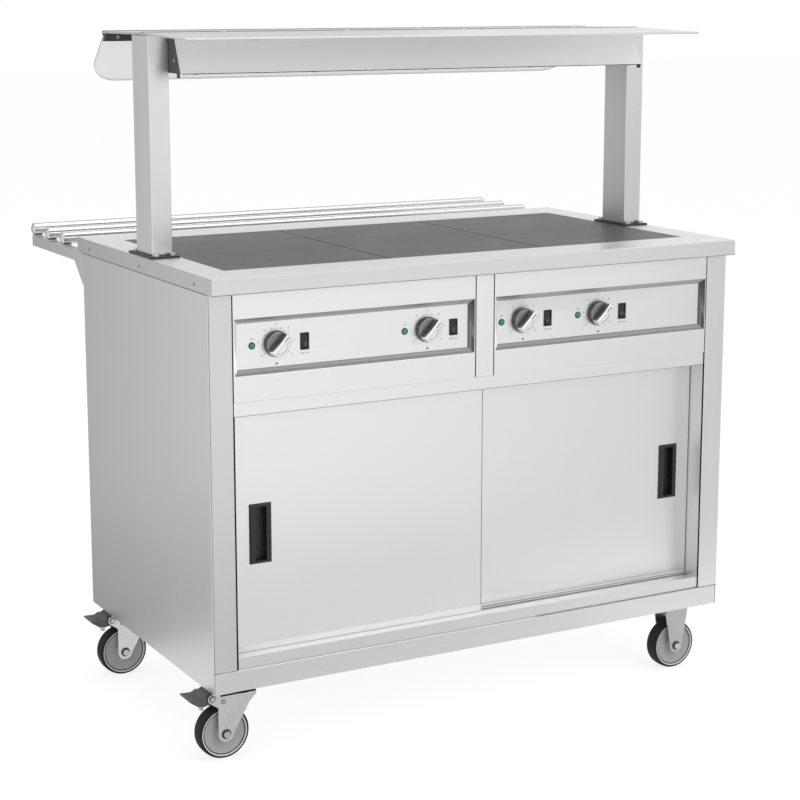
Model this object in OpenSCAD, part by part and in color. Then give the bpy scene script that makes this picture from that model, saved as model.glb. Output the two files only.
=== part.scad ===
// Hostess trolley: a heated servery with a hot cupboard, three hot plates, a heated gantry and a tray slide.
// Millimetres. +X is to the right seen from the control side, +Y points to the tray slide, +Z is up.
// The numbers are measured from the worktop's left front corner and from the floor. placed() then
// moves every piece so that the origin is on the floor under the middle of the overall box.

/* [Cabinet] */
// Width of the worktop
worktop_w = 1130; // [1040:10:1400]
// Depth of the worktop
worktop_d = 680; // [640:10:800]
// Height of the worktop's top above the floor
worktop_h = 900; // [870:5:960]
// Thickness of the folded worktop
worktop_t = 30; // [26:1:40]
// Overhang of the worktop in front of the cabinet
front_overhang = 26; // [20:1:36]
// Overhang of the worktop behind the cabinet
rear_overhang = 25; // [10:1:40]
// Step in from the worktop's ends to the cabinet sides
side_inset = 2; // [1:0.5:6]
// Thickness of the insulated side walls
wall_t = 46; // [40:1:56]
// Thickness of the insulated back wall
back_t = 22; // [16:1:36]
// Height of the base frame under the cupboard
plinth_h = 40; // [30:1:60]
// Thickness of the sheet metal
sheet_t = 2; // [1.5:0.1:2.5]
// Height of the inner shelf above the cupboard floor
shelf_rise = 220; // [120:10:320]

/* [Hot plates] */
// Hot plates, in from the worktop's ends
plate_in_x = 64; // [63:1:110]
// Depth of the hot plates
plate_d = 492; // [440:2:500]
// Thickness of the ceramic glass
plate_t = 4; // [3:0.5:6]
// Distance from the worktop's front edge to the hot plates
plate_in_y = 92; // [80:1:110]
// Gap between two hot plates
plate_gap = 1; // [0.6:0.1:2]

/* [Controls] */
// Height of the control panels
panel_h = 197; // [180:1:230]
// Width of the mullion between the panels
mullion_w = 38; // [30:1:50]
// Height of the recess in a control panel
recess_h = 102; // [90:1:120]
// Depth of the recess
recess_d = 10; // [8:1:14]
// Diameter of a knob
knob_d = 48; // [40:1:52]
// Height of a knob in front of the panel
knob_h = 24; // [20:1:28]
// Width of a knob's bar grip
grip_w = 16; // [12:1:20]
// Diameter of a knob's spindle
spindle_d = 6; // [5:0.5:8]
// First knob, from the left end of the left panel
knob_1_in = 90; // [86:1:110]
// Second knob, from the right end of the left panel
knob_2_in = 100; // [88:1:160]
// Third knob, from the left end of the right panel
knob_3_in = 71; // [70:1:90]
// Fourth knob, from the left end of the right panel
knob_4_in = 244; // [230:1:400]
// Pilot lamp, to the left of its knob
lamp_off = 48; // [42:1:54]
// Diameter of a pilot lamp
lamp_d = 13; // [10:1:15]
// Rocker switch, to the right of its knob
switch_off = 55.5; // [46:0.5:62]
// Width of a rocker
rocker_w = 12; // [10:1:14]
// Height of a rocker's opening
rocker_h = 26; // [22:1:30]

/* [Doors] */
// Thickness of a door
door_t = 16; // [14:1:19]
// Depth of the front door's face behind the cabinet front
door_setback = 24; // [16:1:30]
// Gap between the two doors
door_gap = 5; // [4.5:0.5:7]
// Overlap of the closed doors
door_overlap = 21; // [16:1:40]
// Height of the header that hides the doors' top edges
header_h = 25; // [20:1:30]
// Height of the bottom track rail
rail_h = 23; // [18:1:30]
// Thickness of a door's guide blade
blade_t = 5; // [3:0.5:6]
// Width of a door pull
pull_w = 44; // [40:1:50]
// Height of a door pull
pull_h = 112; // [90:1:140]
// Height of the pulls' middle above the floor
pull_z = 424; // [390:1:450]
// How far a pull stands in front of its door
pull_t = 4; // [2.5:0.5:4]
// Left pull, from the left door's outer edge
pull_in_left = 37; // [30:1:60]
// Right pull, from the right door's outer edge
pull_in_right = 30; // [26:1:60]

/* [Castors] */
// Height of the castors
castor_h = 141; // [140:1:160]
// Diameter of a wheel
wheel_d = 100; // [90:1:102]
// Width of a wheel
wheel_w = 32; // [26:1:34]
// Trail of the swivel castors
trail = 35; // [32:1:38]
// Left castors' swivel axes, from the worktop's left end
castor_in_left = 75; // [70:1:120]
// Right castors' axles, from the worktop's right end
castor_in_right = 73; // [70:1:120]
// Castors, from the worktop's front and rear edges
castor_in_y = 84; // [80:1:110]
// Diameter of a wheel's axle bolt
axle_d = 8; // [6:0.5:10]
// Reach of the brake pedal from its pivot
pedal_reach = 45; // [40:1:50]
// Width of the brake pedal
pedal_w = 48; // [42:1:54]

/* [Gantry] */
// Height of the gantry shelf's ridge above the worktop
gantry_h = 412; // [360:5:480]
// Width of a post
post_w = 40; // [30:1:50]
// Depth of a post
post_d = 80; // [60:1:90]
// Post, from the worktop's end
post_in_x = 14; // [12:1:24]
// Posts' middle, from the worktop's front edge
post_mid_y = 346; // [326:1:370]
// Thickness of the posts' base plates
base_t = 4; // [3:0.5:6]
// Shelf, in from the worktop's ends
shelf_in_x = 12; // [4:1:20]
// Shelf's front edge, from the worktop's front edge
shelf_front_y = 122; // [90:1:150]
// Depth of the shelf
shelf_d = 414; // [390:1:460]
// Ridge, behind the shelf's front edge
ridge_in = 214; // [200:1:230]
// Thickness of the shelf
shelf_t = 4; // [3:0.5:6]
// Height of the lamp housing
housing_h = 65; // [55:1:80]
// Depth of the lamp housing at its open bottom
housing_d = 190; // [170:1:210]
// Lean of the housing's front and rear aprons
apron_lean = 28; // [16:1:34]
// Diameter of a quartz heat lamp
quartz_d = 12; // [8:1:14]

/* [Sneeze glass] */
// Thickness of the glass
glass_t = 6; // [4:0.5:7]
// Length of the glass down its slope
glass_l = 125; // [100:1:160]
// Radius of its bottom corners
glass_r = 55; // [30:1:70]

/* [Tray slide] */
// Diameter of a tube
tube_d = 25; // [22:1:32]
// Distance between tubes
tube_pitch = 92; // [80:1:100]
// First tube's middle, behind the worktop's rear edge
tube_off = 103.5; // [90:0.5:120]
// Tubes' middles, below the worktop's top
tube_drop = 15; // [14:1:30]
// Thickness of a bracket
bracket_t = 4; // [3:0.5:6]
// Height of a bracket's arm
arm_h = 22; // [18:1:30]

/* [Hidden] */
$fn = 48;

// Clearances: a seam, a standing gap and a running fit.
seam = 2;
gap = 0.3;
run = 0.05;

// Cabinet box
left_x = side_inset;
right_x = worktop_w - side_inset;
front_y = front_overhang;
rear_y = worktop_d - rear_overhang;
top_z = worktop_h - worktop_t;
base_z = castor_h;
floor_z = base_z + plinth_h;
in_left = left_x + wall_t;
in_right = right_x - wall_t;
in_rear = rear_y - back_t;
flange_w = 76;
return_d = 34;

// Controls
panel_z = top_z - panel_h;
recess_z = panel_z + panel_h / 2;
recess_y = front_y + recess_d;
pan_y = recess_y + sheet_t;
mid_left = worktop_w / 2 - mullion_w / 2;
mid_right = worktop_w / 2 + mullion_w / 2;
knobs = [in_left + knob_1_in, mid_left - knob_2_in, mid_right + knob_3_in, mid_right + knob_4_in];
skirt_h = 9;
knob_gap = 1;
knob_back = recess_y - knob_gap;
knob_front = recess_y - knob_h;
bush_d = spindle_d + 4;
gear_d = 40;
gear_t = 34;
spindle_in = 28;
lamp_in = 20;
lamp_stem = lamp_d - 4;
bezel_t = 2;
bezel_rim = 2.5;
housing_wall = 0.8;
rocker_gap = 0.2;
rocker_y = recess_y + 2;
rocker_r = rocker_h / 2 - 0.1;
tilt = 9;

// Doors and their tracks
door_y = [front_y + door_setback, front_y + door_setback + door_t + door_gap];
rail_y = front_y + 3;
track_y0 = rail_y + sheet_t;
track_y1 = door_y[1] + door_t + 10;
track_z = floor_z + rail_h;
header_z = panel_z - header_h;
guide_z = panel_z - 10;
door_clear = 2;
door_z0 = track_z + door_clear;
door_z1 = guide_z - door_clear;
door_w = (in_right - in_left - 2 + door_overlap) / 2;
door_left_x = in_left + 1;
door_right_x = in_right - 1 - door_w;
slot_w = blade_t + 1;
slot_deep = 12;
skin = 1.5;
cup_w = pull_w - 18;
cup_h = pull_h - 8;
cup_deep = door_t - 2 * skin - 1;

// Castors
wheel_r = wheel_d / 2;
swivel_x = castor_in_left;
fixed_x = worktop_w - castor_in_right;
castor_y = [castor_in_y, worktop_d - castor_in_y];
top_plate_t = 3;
top_plate_l = 100;
top_plate_w = 86;
under_z = castor_h - top_plate_t;
race_h = 7;
race_d = 56;
crown_z = under_z - race_h - gap;
crown_t = 5;
kingpin_d = 12;
kingpin_head = 4;
fork_t = 3;
fork_in = wheel_w / 2 + 3;
fork_out = fork_in + fork_t;
hub_l = 2 * fork_in - 1;
rim_r = wheel_r - 8;
pivot_d = 6;
pivot_x = -trail - 26;
pivot_z = wheel_r + 71;
bolt_x = 40;
bolt_y = 33;
bolt_head = 3.7;

// Gantry
post_y0 = post_mid_y - post_d / 2;
post_y1 = post_mid_y + post_d / 2;
ridge_y = shelf_front_y + ridge_in;
ridge_z = worktop_h + gantry_h;
front_drop = 6;
rear_drop = 1;
shelf_rear_y = shelf_front_y + shelf_d;
shelf_rear_z = ridge_z - rear_drop;
function shelf_z(y) = y < ridge_y ? ridge_z - front_drop * (ridge_y - y) / ridge_in
                                  : ridge_z - rear_drop * (y - ridge_y) / (shelf_d - ridge_in);
post_top = min(shelf_z(post_y0), shelf_z(post_y1)) - shelf_t;
housing_z1 = post_top - 3;
housing_z0 = housing_z1 - housing_h;
housing_y0 = post_mid_y - 1 - housing_d / 2;
housing_y1 = housing_y0 + housing_d;
housing_x0 = post_in_x + post_w + 3;
housing_x1 = worktop_w - housing_x0;
lamps = 4;
quartz_rise = 24;
quartz_half = 90;
holder_t = 8;

// Glass and its clamp
clamp_y0 = shelf_rear_y - 18;
clamp_y1 = shelf_rear_y - sheet_t - gap;
clamp_h = 15;
clamp_z1 = shelf_rear_z - shelf_t;
glass_y = clamp_y1 - 3.6;
glass_z = clamp_z1 - 2.5 - glass_t * sqrt(0.5) / 2;

// Tray slide
tube_z = worktop_h - tube_drop;
tubes = [for (i = [0:2]) worktop_d + tube_off + i * tube_pitch];
cap_h = 5;
saddle_z = tube_z - tube_d / 2 - gap;
arm_z1 = min(saddle_z, top_z);
arm_z0 = arm_z1 - arm_h;
bracket_x = 5;
foot_h = 50;
foot_w = 36;
gusset_l = 60;

// Middle of the overall box
pedal_x = swivel_x + pivot_x - pedal_reach;
box_x0 = min(0, pedal_x);
box_y1 = tubes[2] + tube_d / 2;
mid_x = (box_x0 + worktop_w) / 2;
mid_y = box_y1 / 2;

module placed() {
  translate([-mid_x, -mid_y, 0]) children();
}

module block(a, b) {
  translate(a) cube([b[0] - a[0], b[1] - a[1], b[2] - a[2]]);
}

// Mirrored to the trolley's other end
module other_end() {
  translate([worktop_w, 0, 0]) mirror([1, 0, 0]) children();
}

// A YZ outline drawn out along X
module along_x(x0, x1) {
  translate([x0, 0, 0]) rotate([90, 0, 90]) linear_extrude(x1 - x0) children();
}

// An XZ outline drawn out along Y
module along_y(y0, y1) {
  translate([0, y1, 0]) rotate([90, 0, 0]) linear_extrude(y1 - y0) children();
}

// A round bar along Y or along X
module bar_y(x, z, y0, y1, d) {
  translate([x, y0, z]) rotate([-90, 0, 0]) cylinder(h = y1 - y0, d = d);
}

module bar_x(y, z, x0, x1, d) {
  translate([x0, y, z]) rotate([0, 90, 0]) cylinder(h = x1 - x0, d = d);
}

// A block whose front face is smaller than its back by a 45 degree chamfer
module bevelled(a, b, c) {
  intersection() {
    along_x(a[0] - 1, b[0] + 1)
      polygon([[a[1], a[2] + c], [a[1] + c, a[2]], [b[1], a[2]],
               [b[1], b[2]], [a[1] + c, b[2]], [a[1], b[2] - c]]);
    translate([0, 0, a[2] - 1]) linear_extrude(b[2] - a[2] + 2)
      polygon([[a[0] + c, a[1]], [b[0] - c, a[1]], [b[0], a[1] + c],
               [b[0], b[1]], [a[0], b[1]], [a[0], a[1] + c]]);
  }
}

// A recess that narrows at 45 degrees all round, from y0 back to y0 + d
module recess(x0, x1, z0, z1, y0, d) {
  e = 1;
  intersection() {
    along_x(x0 - 2, x1 + 2)
      polygon([[y0 - e, z0 - e], [y0 + d, z0 + d], [y0 + d, z1 - d], [y0 - e, z1 + e]]);
    translate([0, 0, z0 - 2]) linear_extrude(z1 - z0 + 4)
      polygon([[x0 - e, y0 - e], [x0 + d, y0 + d], [x1 - d, y0 + d], [x1 + e, y0 - e]]);
  }
}

// ---- Cabinet ----

module side_panel() {
  difference() {
    block([left_x, front_y, floor_z], [in_left, rear_y, top_z]);
    block([left_x + sheet_t, front_y + sheet_t, floor_z + sheet_t],
          [in_left - sheet_t, rear_y - sheet_t, top_z + 1]);
  }
  block([left_x, front_y, base_z], [left_x + sheet_t, rear_y, floor_z + sheet_t]);
  runner_z = floor_z + shelf_rise;
  difference() {
    block([in_left, track_y1 + 10, runner_z - 18], [in_left + 18, in_rear - 6, runner_z]);
    block([in_left + sheet_t, track_y1, runner_z - 19], [in_left + 19, in_rear, runner_z - sheet_t]);
  }
}

module side_panel_left() {
  color("silver") placed() side_panel();
}

module side_panel_right() {
  color("silver") placed() other_end() side_panel();
}

module back_panel() {
  color("silver") placed() difference() {
    block([in_left, in_rear, floor_z], [in_right, rear_y, top_z]);
    block([in_left + sheet_t, in_rear + sheet_t, floor_z + sheet_t],
          [in_right - sheet_t, rear_y - sheet_t, top_z + 1]);
    bar_y(gland_x, gland_z, in_rear - 1, rear_y + 1, gland_d + 1);
  }
}

module base_frame() {
  color("gainsboro") placed() difference() {
    block([left_x + sheet_t, front_y, base_z], [right_x - sheet_t, rear_y, floor_z]);
    block([left_x + 2 * sheet_t, front_y + sheet_t, base_z + sheet_t],
          [right_x - 2 * sheet_t, rear_y - sheet_t, floor_z - sheet_t]);
    block([left_x + flange_w, front_y + flange_w, floor_z - sheet_t - 1],
          [right_x - flange_w, rear_y - flange_w, floor_z + 1]);
  }
}

module cupboard_floor() {
  color("silver") placed()
    block([in_left, track_y1, floor_z], [in_right, in_rear, floor_z + 3]);
}

module cupboard_ceiling() {
  color("silver") placed() union() {
    block([in_left, track_y1, panel_z - 5], [in_right, in_rear, panel_z - 2]);
    block([in_left, track_y1, panel_z - 2], [in_right, track_y1 + 3, panel_z + 15]);
    block([in_left, in_rear - 3, panel_z - 2], [in_right, in_rear, panel_z + 15]);
  }
}

module inner_shelf() {
  x0 = in_left + 3;
  x1 = in_right - 3;
  y0 = track_y1 + 12;
  y1 = in_rear - 8;
  z0 = floor_z + shelf_rise;
  color("silver") placed() difference() {
    block([x0, y0, z0], [x1, y1, z0 + 16]);
    block([x0 + sheet_t, y0 + sheet_t, z0 - 1], [x1 - sheet_t, y1 - sheet_t, z0 + 16 - sheet_t]);
  }
}

module mullion() {
  color("gainsboro") placed() difference() {
    block([mid_left, front_y, panel_z], [mid_right, front_y + return_d, top_z]);
    block([mid_left + sheet_t, front_y + sheet_t, panel_z - 1],
          [mid_right - sheet_t, front_y + return_d + 1, top_z + 1]);
  }
}

module control_panel(x0, x1, picks) {
  difference() {
    union() {
      block([x0, front_y, panel_z + gap], [x1, front_y + sheet_t, top_z - gap]);
      block([x0, front_y, recess_z - recess_h / 2 - 3], [x1, pan_y, recess_z + recess_h / 2 + 3]);
      block([x0, front_y, panel_z], [x1, front_y + return_d, panel_z + sheet_t]);
      block([x0, front_y, top_z - sheet_t], [x1, front_y + return_d, top_z]);
    }
    recess(x0 + seam, x1 - seam, recess_z - recess_h / 2, recess_z + recess_h / 2, front_y, recess_d);
    for (i = picks) {
      bar_y(knobs[i], recess_z, front_y, pan_y + 1, bush_d + 2 * gap);
      bar_y(knobs[i] - lamp_off, recess_z, front_y, pan_y + 1, lamp_stem + 2 * gap);
      switch_core(knobs[i] + switch_off, front_y, pan_y + 1, gap);
    }
  }
}

module control_panel_left() {
  color("gainsboro") placed() control_panel(in_left + seam, mid_left - seam, [0, 1]);
}

module control_panel_right() {
  color("gainsboro") placed() control_panel(mid_right + seam, in_right - seam, [2, 3]);
}

// ---- Controls ----

module thermostats() {
  color("dimgray") placed() for (x = knobs) difference() {
    union() {
      block([x - gear_d / 2, pan_y, recess_z - gear_d / 2],
            [x + gear_d / 2, pan_y + gear_t, recess_z + gear_d / 2]);
      bar_y(x, recess_z, knob_back + gap, pan_y, bush_d);
    }
    bar_y(x, recess_z, knob_back, pan_y + spindle_in + 2, spindle_d + 2 * run);
  }
}

module knob(i) {
  x = knobs[i];
  color("dimgray") union() {
    bar_y(x, recess_z, knob_back - skirt_h, knob_back, knob_d);
    bar_y(x, recess_z, knob_back, pan_y + spindle_in, spindle_d);
    intersection() {
      bar_y(x, recess_z, knob_front, knob_back, knob_d - 4);
      translate([x, 0, recess_z]) rotate([0, -45, 0])
        block([-knob_d / 2, knob_front, -grip_w / 2], [knob_d / 2, knob_back, grip_w / 2]);
    }
  }
}

module knob_1() {
  placed() knob(0);
}

module knob_2() {
  placed() knob(1);
}

module knob_3() {
  placed() knob(2);
}

module knob_4() {
  placed() knob(3);
}

module pilot_lamps() {
  color("mediumseagreen") placed() for (x = knobs) {
    bar_y(x - lamp_off, recess_z, recess_y - 1, recess_y, lamp_d);
    bar_y(x - lamp_off, recess_z, recess_y, pan_y + lamp_in, lamp_stem);
    translate([x - lamp_off, recess_y - 1, recess_z]) intersection() {
      translate([0, lens_r - lens_h, 0]) sphere(r = lens_r);
      bar_y(0, 0, -lens_h, 0, lamp_d);
    }
  }
}

lens_h = 2.2;
lens_r = (lamp_d * lamp_d / 4 + lens_h * lens_h) / (2 * lens_h);

// The body of a switch, as it passes through the panel
module switch_core(x, y0, y1, grow) {
  w = rocker_w / 2 + rocker_gap + housing_wall + grow;
  h = rocker_h / 2 + rocker_gap + housing_wall + grow;
  block([x - w, y0, recess_z - h], [x + w, y1, recess_z + h]);
}

module switch_housings() {
  color("black") placed() for (k = knobs) {
    x = k + switch_off;
    rim = bezel_rim - housing_wall - rocker_gap;
    difference() {
      union() {
        switch_core(x, recess_y - bezel_t, recess_y, rim);
        switch_core(x, recess_y, pan_y + 18, 0);
      }
      switch_core(x, recess_y - bezel_t - 1, pan_y + 16, -housing_wall);
      bar_x(rocker_y, recess_z, x - rocker_w, x + rocker_w, 2.5);
    }
  }
}

module rocker(i) {
  x = knobs[i] + switch_off;
  h = rocker_h / 2 - 1;
  color("black") translate([0, rocker_y, recess_z]) rotate([-tilt, 0, 0]) union() {
    along_x(x - rocker_w / 2, x + rocker_w / 2) intersection() {
      circle(r = rocker_r);
      polygon([[-4.6, -h], [-3.4, 0], [-4.6, h], [8, 8], [8, -8]]);
    }
    bar_x(0, 0, x - rocker_w / 2 - housing_wall, x + rocker_w / 2 + housing_wall, 2.4);
  }
}

module rocker_1() {
  placed() rocker(0);
}

module rocker_2() {
  placed() rocker(1);
}

module rocker_3() {
  placed() rocker(2);
}

module rocker_4() {
  placed() rocker(3);
}

// ---- Doors ----

module door_header() {
  color("gainsboro") placed() difference() {
    union() {
      block([in_left, rail_y, header_z], [in_right, track_y0, panel_z]);
      block([in_left, track_y0, guide_z], [in_right, track_y1, panel_z]);
    }
    for (y = door_y)
      block([in_left - 1, y + (door_t - slot_w) / 2, guide_z - 1],
            [in_right + 1, y + (door_t + slot_w) / 2, panel_z - 2]);
  }
}

module door_track() {
  color("gainsboro") placed() difference() {
    block([in_left, rail_y, floor_z], [in_right, track_y1, track_z]);
    for (y = door_y) {
      block([in_left - 1, y + (door_t - slot_w) / 2, track_z - slot_deep],
            [in_right + 1, y + (door_t + slot_w) / 2, track_z + 1]);
      block([in_left - 1, y + (door_t - slot_w) / 2 - sheet_t, floor_z - 1],
            [in_right + 1, y + (door_t + slot_w) / 2 + sheet_t, track_z - slot_deep - sheet_t]);
    }
  }
}

module door(x, y, pull_x) {
  difference() {
    block([x, y, door_z0], [x + door_w, y + door_t, door_z1]);
    block([x + skin, y + skin, door_z0 + skin], [x + door_w - skin, y + door_t - skin, door_z1 - skin]);
    block([pull_x - cup_w / 2 - gap, y - 1, pull_z - cup_h / 2 - gap],
          [pull_x + cup_w / 2 + gap, y + skin + 1, pull_z + cup_h / 2 + gap]);
  }
  for (s = [x + 10, x + door_w - 70]) {
    block([s, y + (door_t - blade_t) / 2, track_z - slot_deep + gap],
          [s + 60, y + (door_t + blade_t) / 2, door_z0]);
    block([s, y + (door_t - blade_t) / 2, door_z1],
          [s + 60, y + (door_t + blade_t) / 2, panel_z - 2 - 1]);
  }
}

pull_left_x = door_left_x + pull_in_left + pull_w / 2;
pull_right_x = door_right_x + door_w - pull_in_right - pull_w / 2;

module door_left() {
  color("gainsboro") placed() door(door_left_x, door_y[0], pull_left_x);
}

module door_right() {
  color("gainsboro") placed() door(door_right_x, door_y[1], pull_right_x);
}

// A flush pull: bevelled plate in front of the door and a finger cup behind it
module pull(x, y, side) {
  cx = x + side * 2;
  difference() {
    union() {
      bevelled([x - pull_w / 2, y - pull_t, pull_z - pull_h / 2],
               [x + pull_w / 2, y, pull_z + pull_h / 2], pull_t - 1);
      block([x - cup_w / 2, y, pull_z - cup_h / 2], [x + cup_w / 2, y + cup_deep, pull_z + cup_h / 2]);
    }
    block([cx - 11, y - pull_t - 1, pull_z - cup_h / 2 + 2],
          [cx + 11, y + cup_deep - skin, pull_z + cup_h / 2 - 2]);
  }
}

module door_pull_left() {
  color("black") placed() pull(pull_left_x, door_y[0], 0);
}

module door_pull_right() {
  color("black") placed() pull(pull_right_x, door_y[1], 0);
}

// ---- Top ----

plates_x0 = plate_in_x;
plates_x1 = worktop_w - plate_in_x;
plate_w = (plates_x1 - plates_x0) / 3;
plates_y1 = plate_in_y + plate_d;
seat_z = worktop_h - plate_t;
seat_w = 12;

module worktop() {
  t = sheet_t;
  color("gainsboro") placed() difference() {
    block([0, 0, top_z], [worktop_w, worktop_d, worktop_h]);
    difference() {
      block([t, t, top_z + t], [worktop_w - t, worktop_d - t, worktop_h - t]);
      block([plates_x0 - 4, plate_in_y - 4, seat_z - t], [plates_x1 + 4, plates_y1 + 4, worktop_h]);
    }
    block([flange_w, flange_w, top_z - 1], [worktop_w - flange_w, worktop_d - flange_w, top_z + t + 1]);
    block([plates_x0 - gap, plate_in_y - gap, seat_z], [plates_x1 + gap, plates_y1 + gap, worktop_h + 1]);
    for (i = [0:2])
      block([plates_x0 + i * plate_w + seat_w, plate_in_y + seat_w, top_z + t],
            [plates_x0 + (i + 1) * plate_w - seat_w, plates_y1 - seat_w, worktop_h]);
  }
}

module hot_plates() {
  color("dimgray") placed() for (i = [0:2])
    block([plates_x0 + i * plate_w + (i > 0 ? plate_gap / 2 : 0), plate_in_y, seat_z],
          [plates_x0 + (i + 1) * plate_w - (i < 2 ? plate_gap / 2 : 0), plates_y1, worktop_h]);
}

module plate_heaters() {
  color("darkgray") placed() for (i = [0:2])
    block([plates_x0 + i * plate_w + seat_w + 6, plate_in_y + seat_w + 6, seat_z - 6],
          [plates_x0 + (i + 1) * plate_w - seat_w - 6, plates_y1 - seat_w - 6, seat_z]);
}

rod_d = 8;
rod_in_x = 200;
rod_in_front = 116;
rod_in_rear = 100;
rod_rise = 25;
foot_in = 20;

// A bent rod element on two bars that stand on the cupboard floor
module cupboard_heater() {
  x0 = in_left + rod_in_x;
  x1 = in_right - rod_in_x;
  y0 = track_y1 + rod_in_front;
  y1 = in_rear - rod_in_rear;
  z = floor_z + rod_rise;
  color("darkgray") placed() union() {
    bar_x(y0, z, x0, x1, rod_d);
    bar_x(y1, z, x0, x1, rod_d);
    bar_y(x1, z, y0, y1, rod_d);
    translate([x1, y0, z]) sphere(d = rod_d);
    translate([x1, y1, z]) sphere(d = rod_d);
    for (x = [x0 + foot_in, x1 - 3 * foot_in])
      block([x, y0 - 15, floor_z + 3], [x + 4, y1 + 15, z]);
  }
}

gland_x = in_right - 45;
gland_z = floor_z + 50;
gland_d = 20;

module cable_gland() {
  color("black") placed() difference() {
    union() {
      bar_y(gland_x, gland_z, in_rear - 3, rear_y, gland_d);
      translate([gland_x, rear_y + 7, gland_z]) rotate([90, 0, 0])
        cylinder(h = 7, d = gland_d + 10, $fn = 6);
      bar_y(gland_x, gland_z, rear_y + 7, rear_y + 18, gland_d + 2);
    }
    bar_y(gland_x, gland_z, rear_y + 2, rear_y + 19, 10);
  }
}

// ---- Castors: drawn round a swivel axis at x = 0 with the wheel's middle plane at y = 0 ----

module at_left(i) {
  placed() translate([swivel_x, castor_y[i], 0]) children();
}

module at_right(i) {
  placed() translate([fixed_x, castor_y[i], 0]) children();
}

module castor_plates() {
  color("silver") for (i = [0, 1]) at_left(i) union() {
    block([-top_plate_l / 2, -top_plate_w / 2, under_z], [top_plate_l / 2, top_plate_w / 2, castor_h]);
    translate([0, 0, under_z - race_h]) cylinder(h = race_h, d = race_d);
    translate([0, 0, crown_z - crown_t - gap - 1]) cylinder(h = crown_t + race_h, d = kingpin_d);
    translate([0, 0, crown_z - crown_t - gap - kingpin_head]) cylinder(h = kingpin_head, d = 22);
  }
}

module castor_bolts() {
  color("gray") for (i = [0, 1]) {
    at_left(i) plate_bolts();
    at_right(i) plate_bolts();
  }
}

module plate_bolts() {
  for (x = [-bolt_x, bolt_x], y = [-bolt_y, bolt_y])
    translate([x, y, under_z - bolt_head]) cylinder(h = bolt_head, d = 12, $fn = 6);
}

module leg_pair(holes) {
  for (y = [-fork_out, fork_in]) difference() {
    along_y(y, y + fork_t) children();
    for (h = holes)
      bar_y(h[0], h[1], y - 1, y + fork_t + 1, h[2]);
  }
}

module swivel_fork() {
  difference() {
    union() {
      translate([0, 0, crown_z - crown_t]) cylinder(h = crown_t, d = 60);
      block([-46, -fork_out, crown_z - fork_t], [26, fork_out, crown_z]);
    }
    translate([0, 0, crown_z - crown_t - 1]) cylinder(h = crown_t + 2, d = kingpin_d + 2 * run);
  }
  leg_pair([[-trail, wheel_r, axle_d + 0.4], [pivot_x, pivot_z, pivot_d + 0.4]]) union() {
    translate([-trail, wheel_r]) circle(d = 30);
    translate([pivot_x, pivot_z]) circle(d = 18);
    polygon([[-trail - 15, wheel_r], [-trail - 15, wheel_r + 52], [pivot_x - 6, pivot_z - 7],
             [pivot_x, pivot_z + 9], [-46, crown_z], [26, crown_z], [26, crown_z - 13],
             [13, crown_z - 25], [-trail + 14, wheel_r - 4]]);
  }
}

module swivel_fork_front() {
  color("silver") at_left(0) swivel_fork();
}

module swivel_fork_rear() {
  color("silver") at_left(1) swivel_fork();
}

module fixed_forks() {
  color("silver") for (i = [0, 1]) at_right(i) {
    block([-top_plate_l / 2, -top_plate_w / 2, under_z], [top_plate_l / 2, top_plate_w / 2, castor_h]);
    block([-27, -fork_out, under_z - fork_t], [27, fork_out, under_z]);
    leg_pair([[0, wheel_r, axle_d + 0.4]]) union() {
      translate([0, wheel_r]) circle(d = 30);
      polygon([[-15, wheel_r], [-27, under_z - 14], [-27, under_z],
               [27, under_z], [27, under_z - 14], [15, wheel_r]]);
    }
  }
}

module wheel() {
  translate([0, 0, wheel_r]) rotate([90, 0, 0]) difference() {
    union() {
      cylinder(h = wheel_w - 16, r = rim_r - 0.1, center = true);
      difference() {
        cylinder(h = wheel_w - 4, r = rim_r - 0.1, center = true);
        cylinder(h = wheel_w, r = rim_r - 5, center = true);
      }
      cylinder(h = hub_l, r = 13, center = true);
    }
    cylinder(h = hub_l + 2, d = axle_d + 2 * run, center = true);
  }
}

// A tyre with rounded shoulders
module tyre() {
  soft = 4;
  translate([0, 0, wheel_r]) rotate([90, 0, 0]) rotate_extrude($fn = 96) {
    translate([rim_r, -wheel_w / 2]) square([wheel_r - soft - rim_r, wheel_w]);
    translate([rim_r, soft - wheel_w / 2]) square([wheel_r - rim_r, wheel_w - 2 * soft]);
    for (s = [-1, 1])
      translate([wheel_r - soft, s * (wheel_w / 2 - soft)]) circle(r = soft, $fn = 24);
  }
}

module wheel_front_left() {
  color("gray") at_left(0) translate([-trail, 0, 0]) wheel();
}

module wheel_rear_left() {
  color("gray") at_left(1) translate([-trail, 0, 0]) wheel();
}

module wheel_front_right() {
  color("gray") at_right(0) wheel();
}

module wheel_rear_right() {
  color("gray") at_right(1) wheel();
}

module tyre_front_left() {
  color("dimgray") at_left(0) translate([-trail, 0, 0]) tyre();
}

module tyre_rear_left() {
  color("dimgray") at_left(1) translate([-trail, 0, 0]) tyre();
}

module tyre_front_right() {
  color("dimgray") at_right(0) tyre();
}

module tyre_rear_right() {
  color("dimgray") at_right(1) tyre();
}

// An axle bolt with its head and nut against the fork's legs
module axle_bolt() {
  translate([0, 0, wheel_r]) rotate([90, 0, 0]) union() {
    cylinder(h = 2 * fork_out + 10, d = axle_d, center = true);
    for (s = [0, 180])
      rotate([s, 0, 0]) translate([0, 0, fork_out]) cylinder(h = 6, d = axle_d * 1.75, $fn = 6);
  }
}

// The pin that the brake pedal turns on
module pivot_pin() {
  translate([pivot_x, 0, pivot_z]) rotate([90, 0, 0]) union() {
    cylinder(h = 2 * fork_out + 2, d = pivot_d, center = true);
    for (s = [0, 180])
      rotate([s, 0, 0]) translate([0, 0, fork_out]) cylinder(h = 2.5, d = pivot_d + 4);
  }
}

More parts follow.
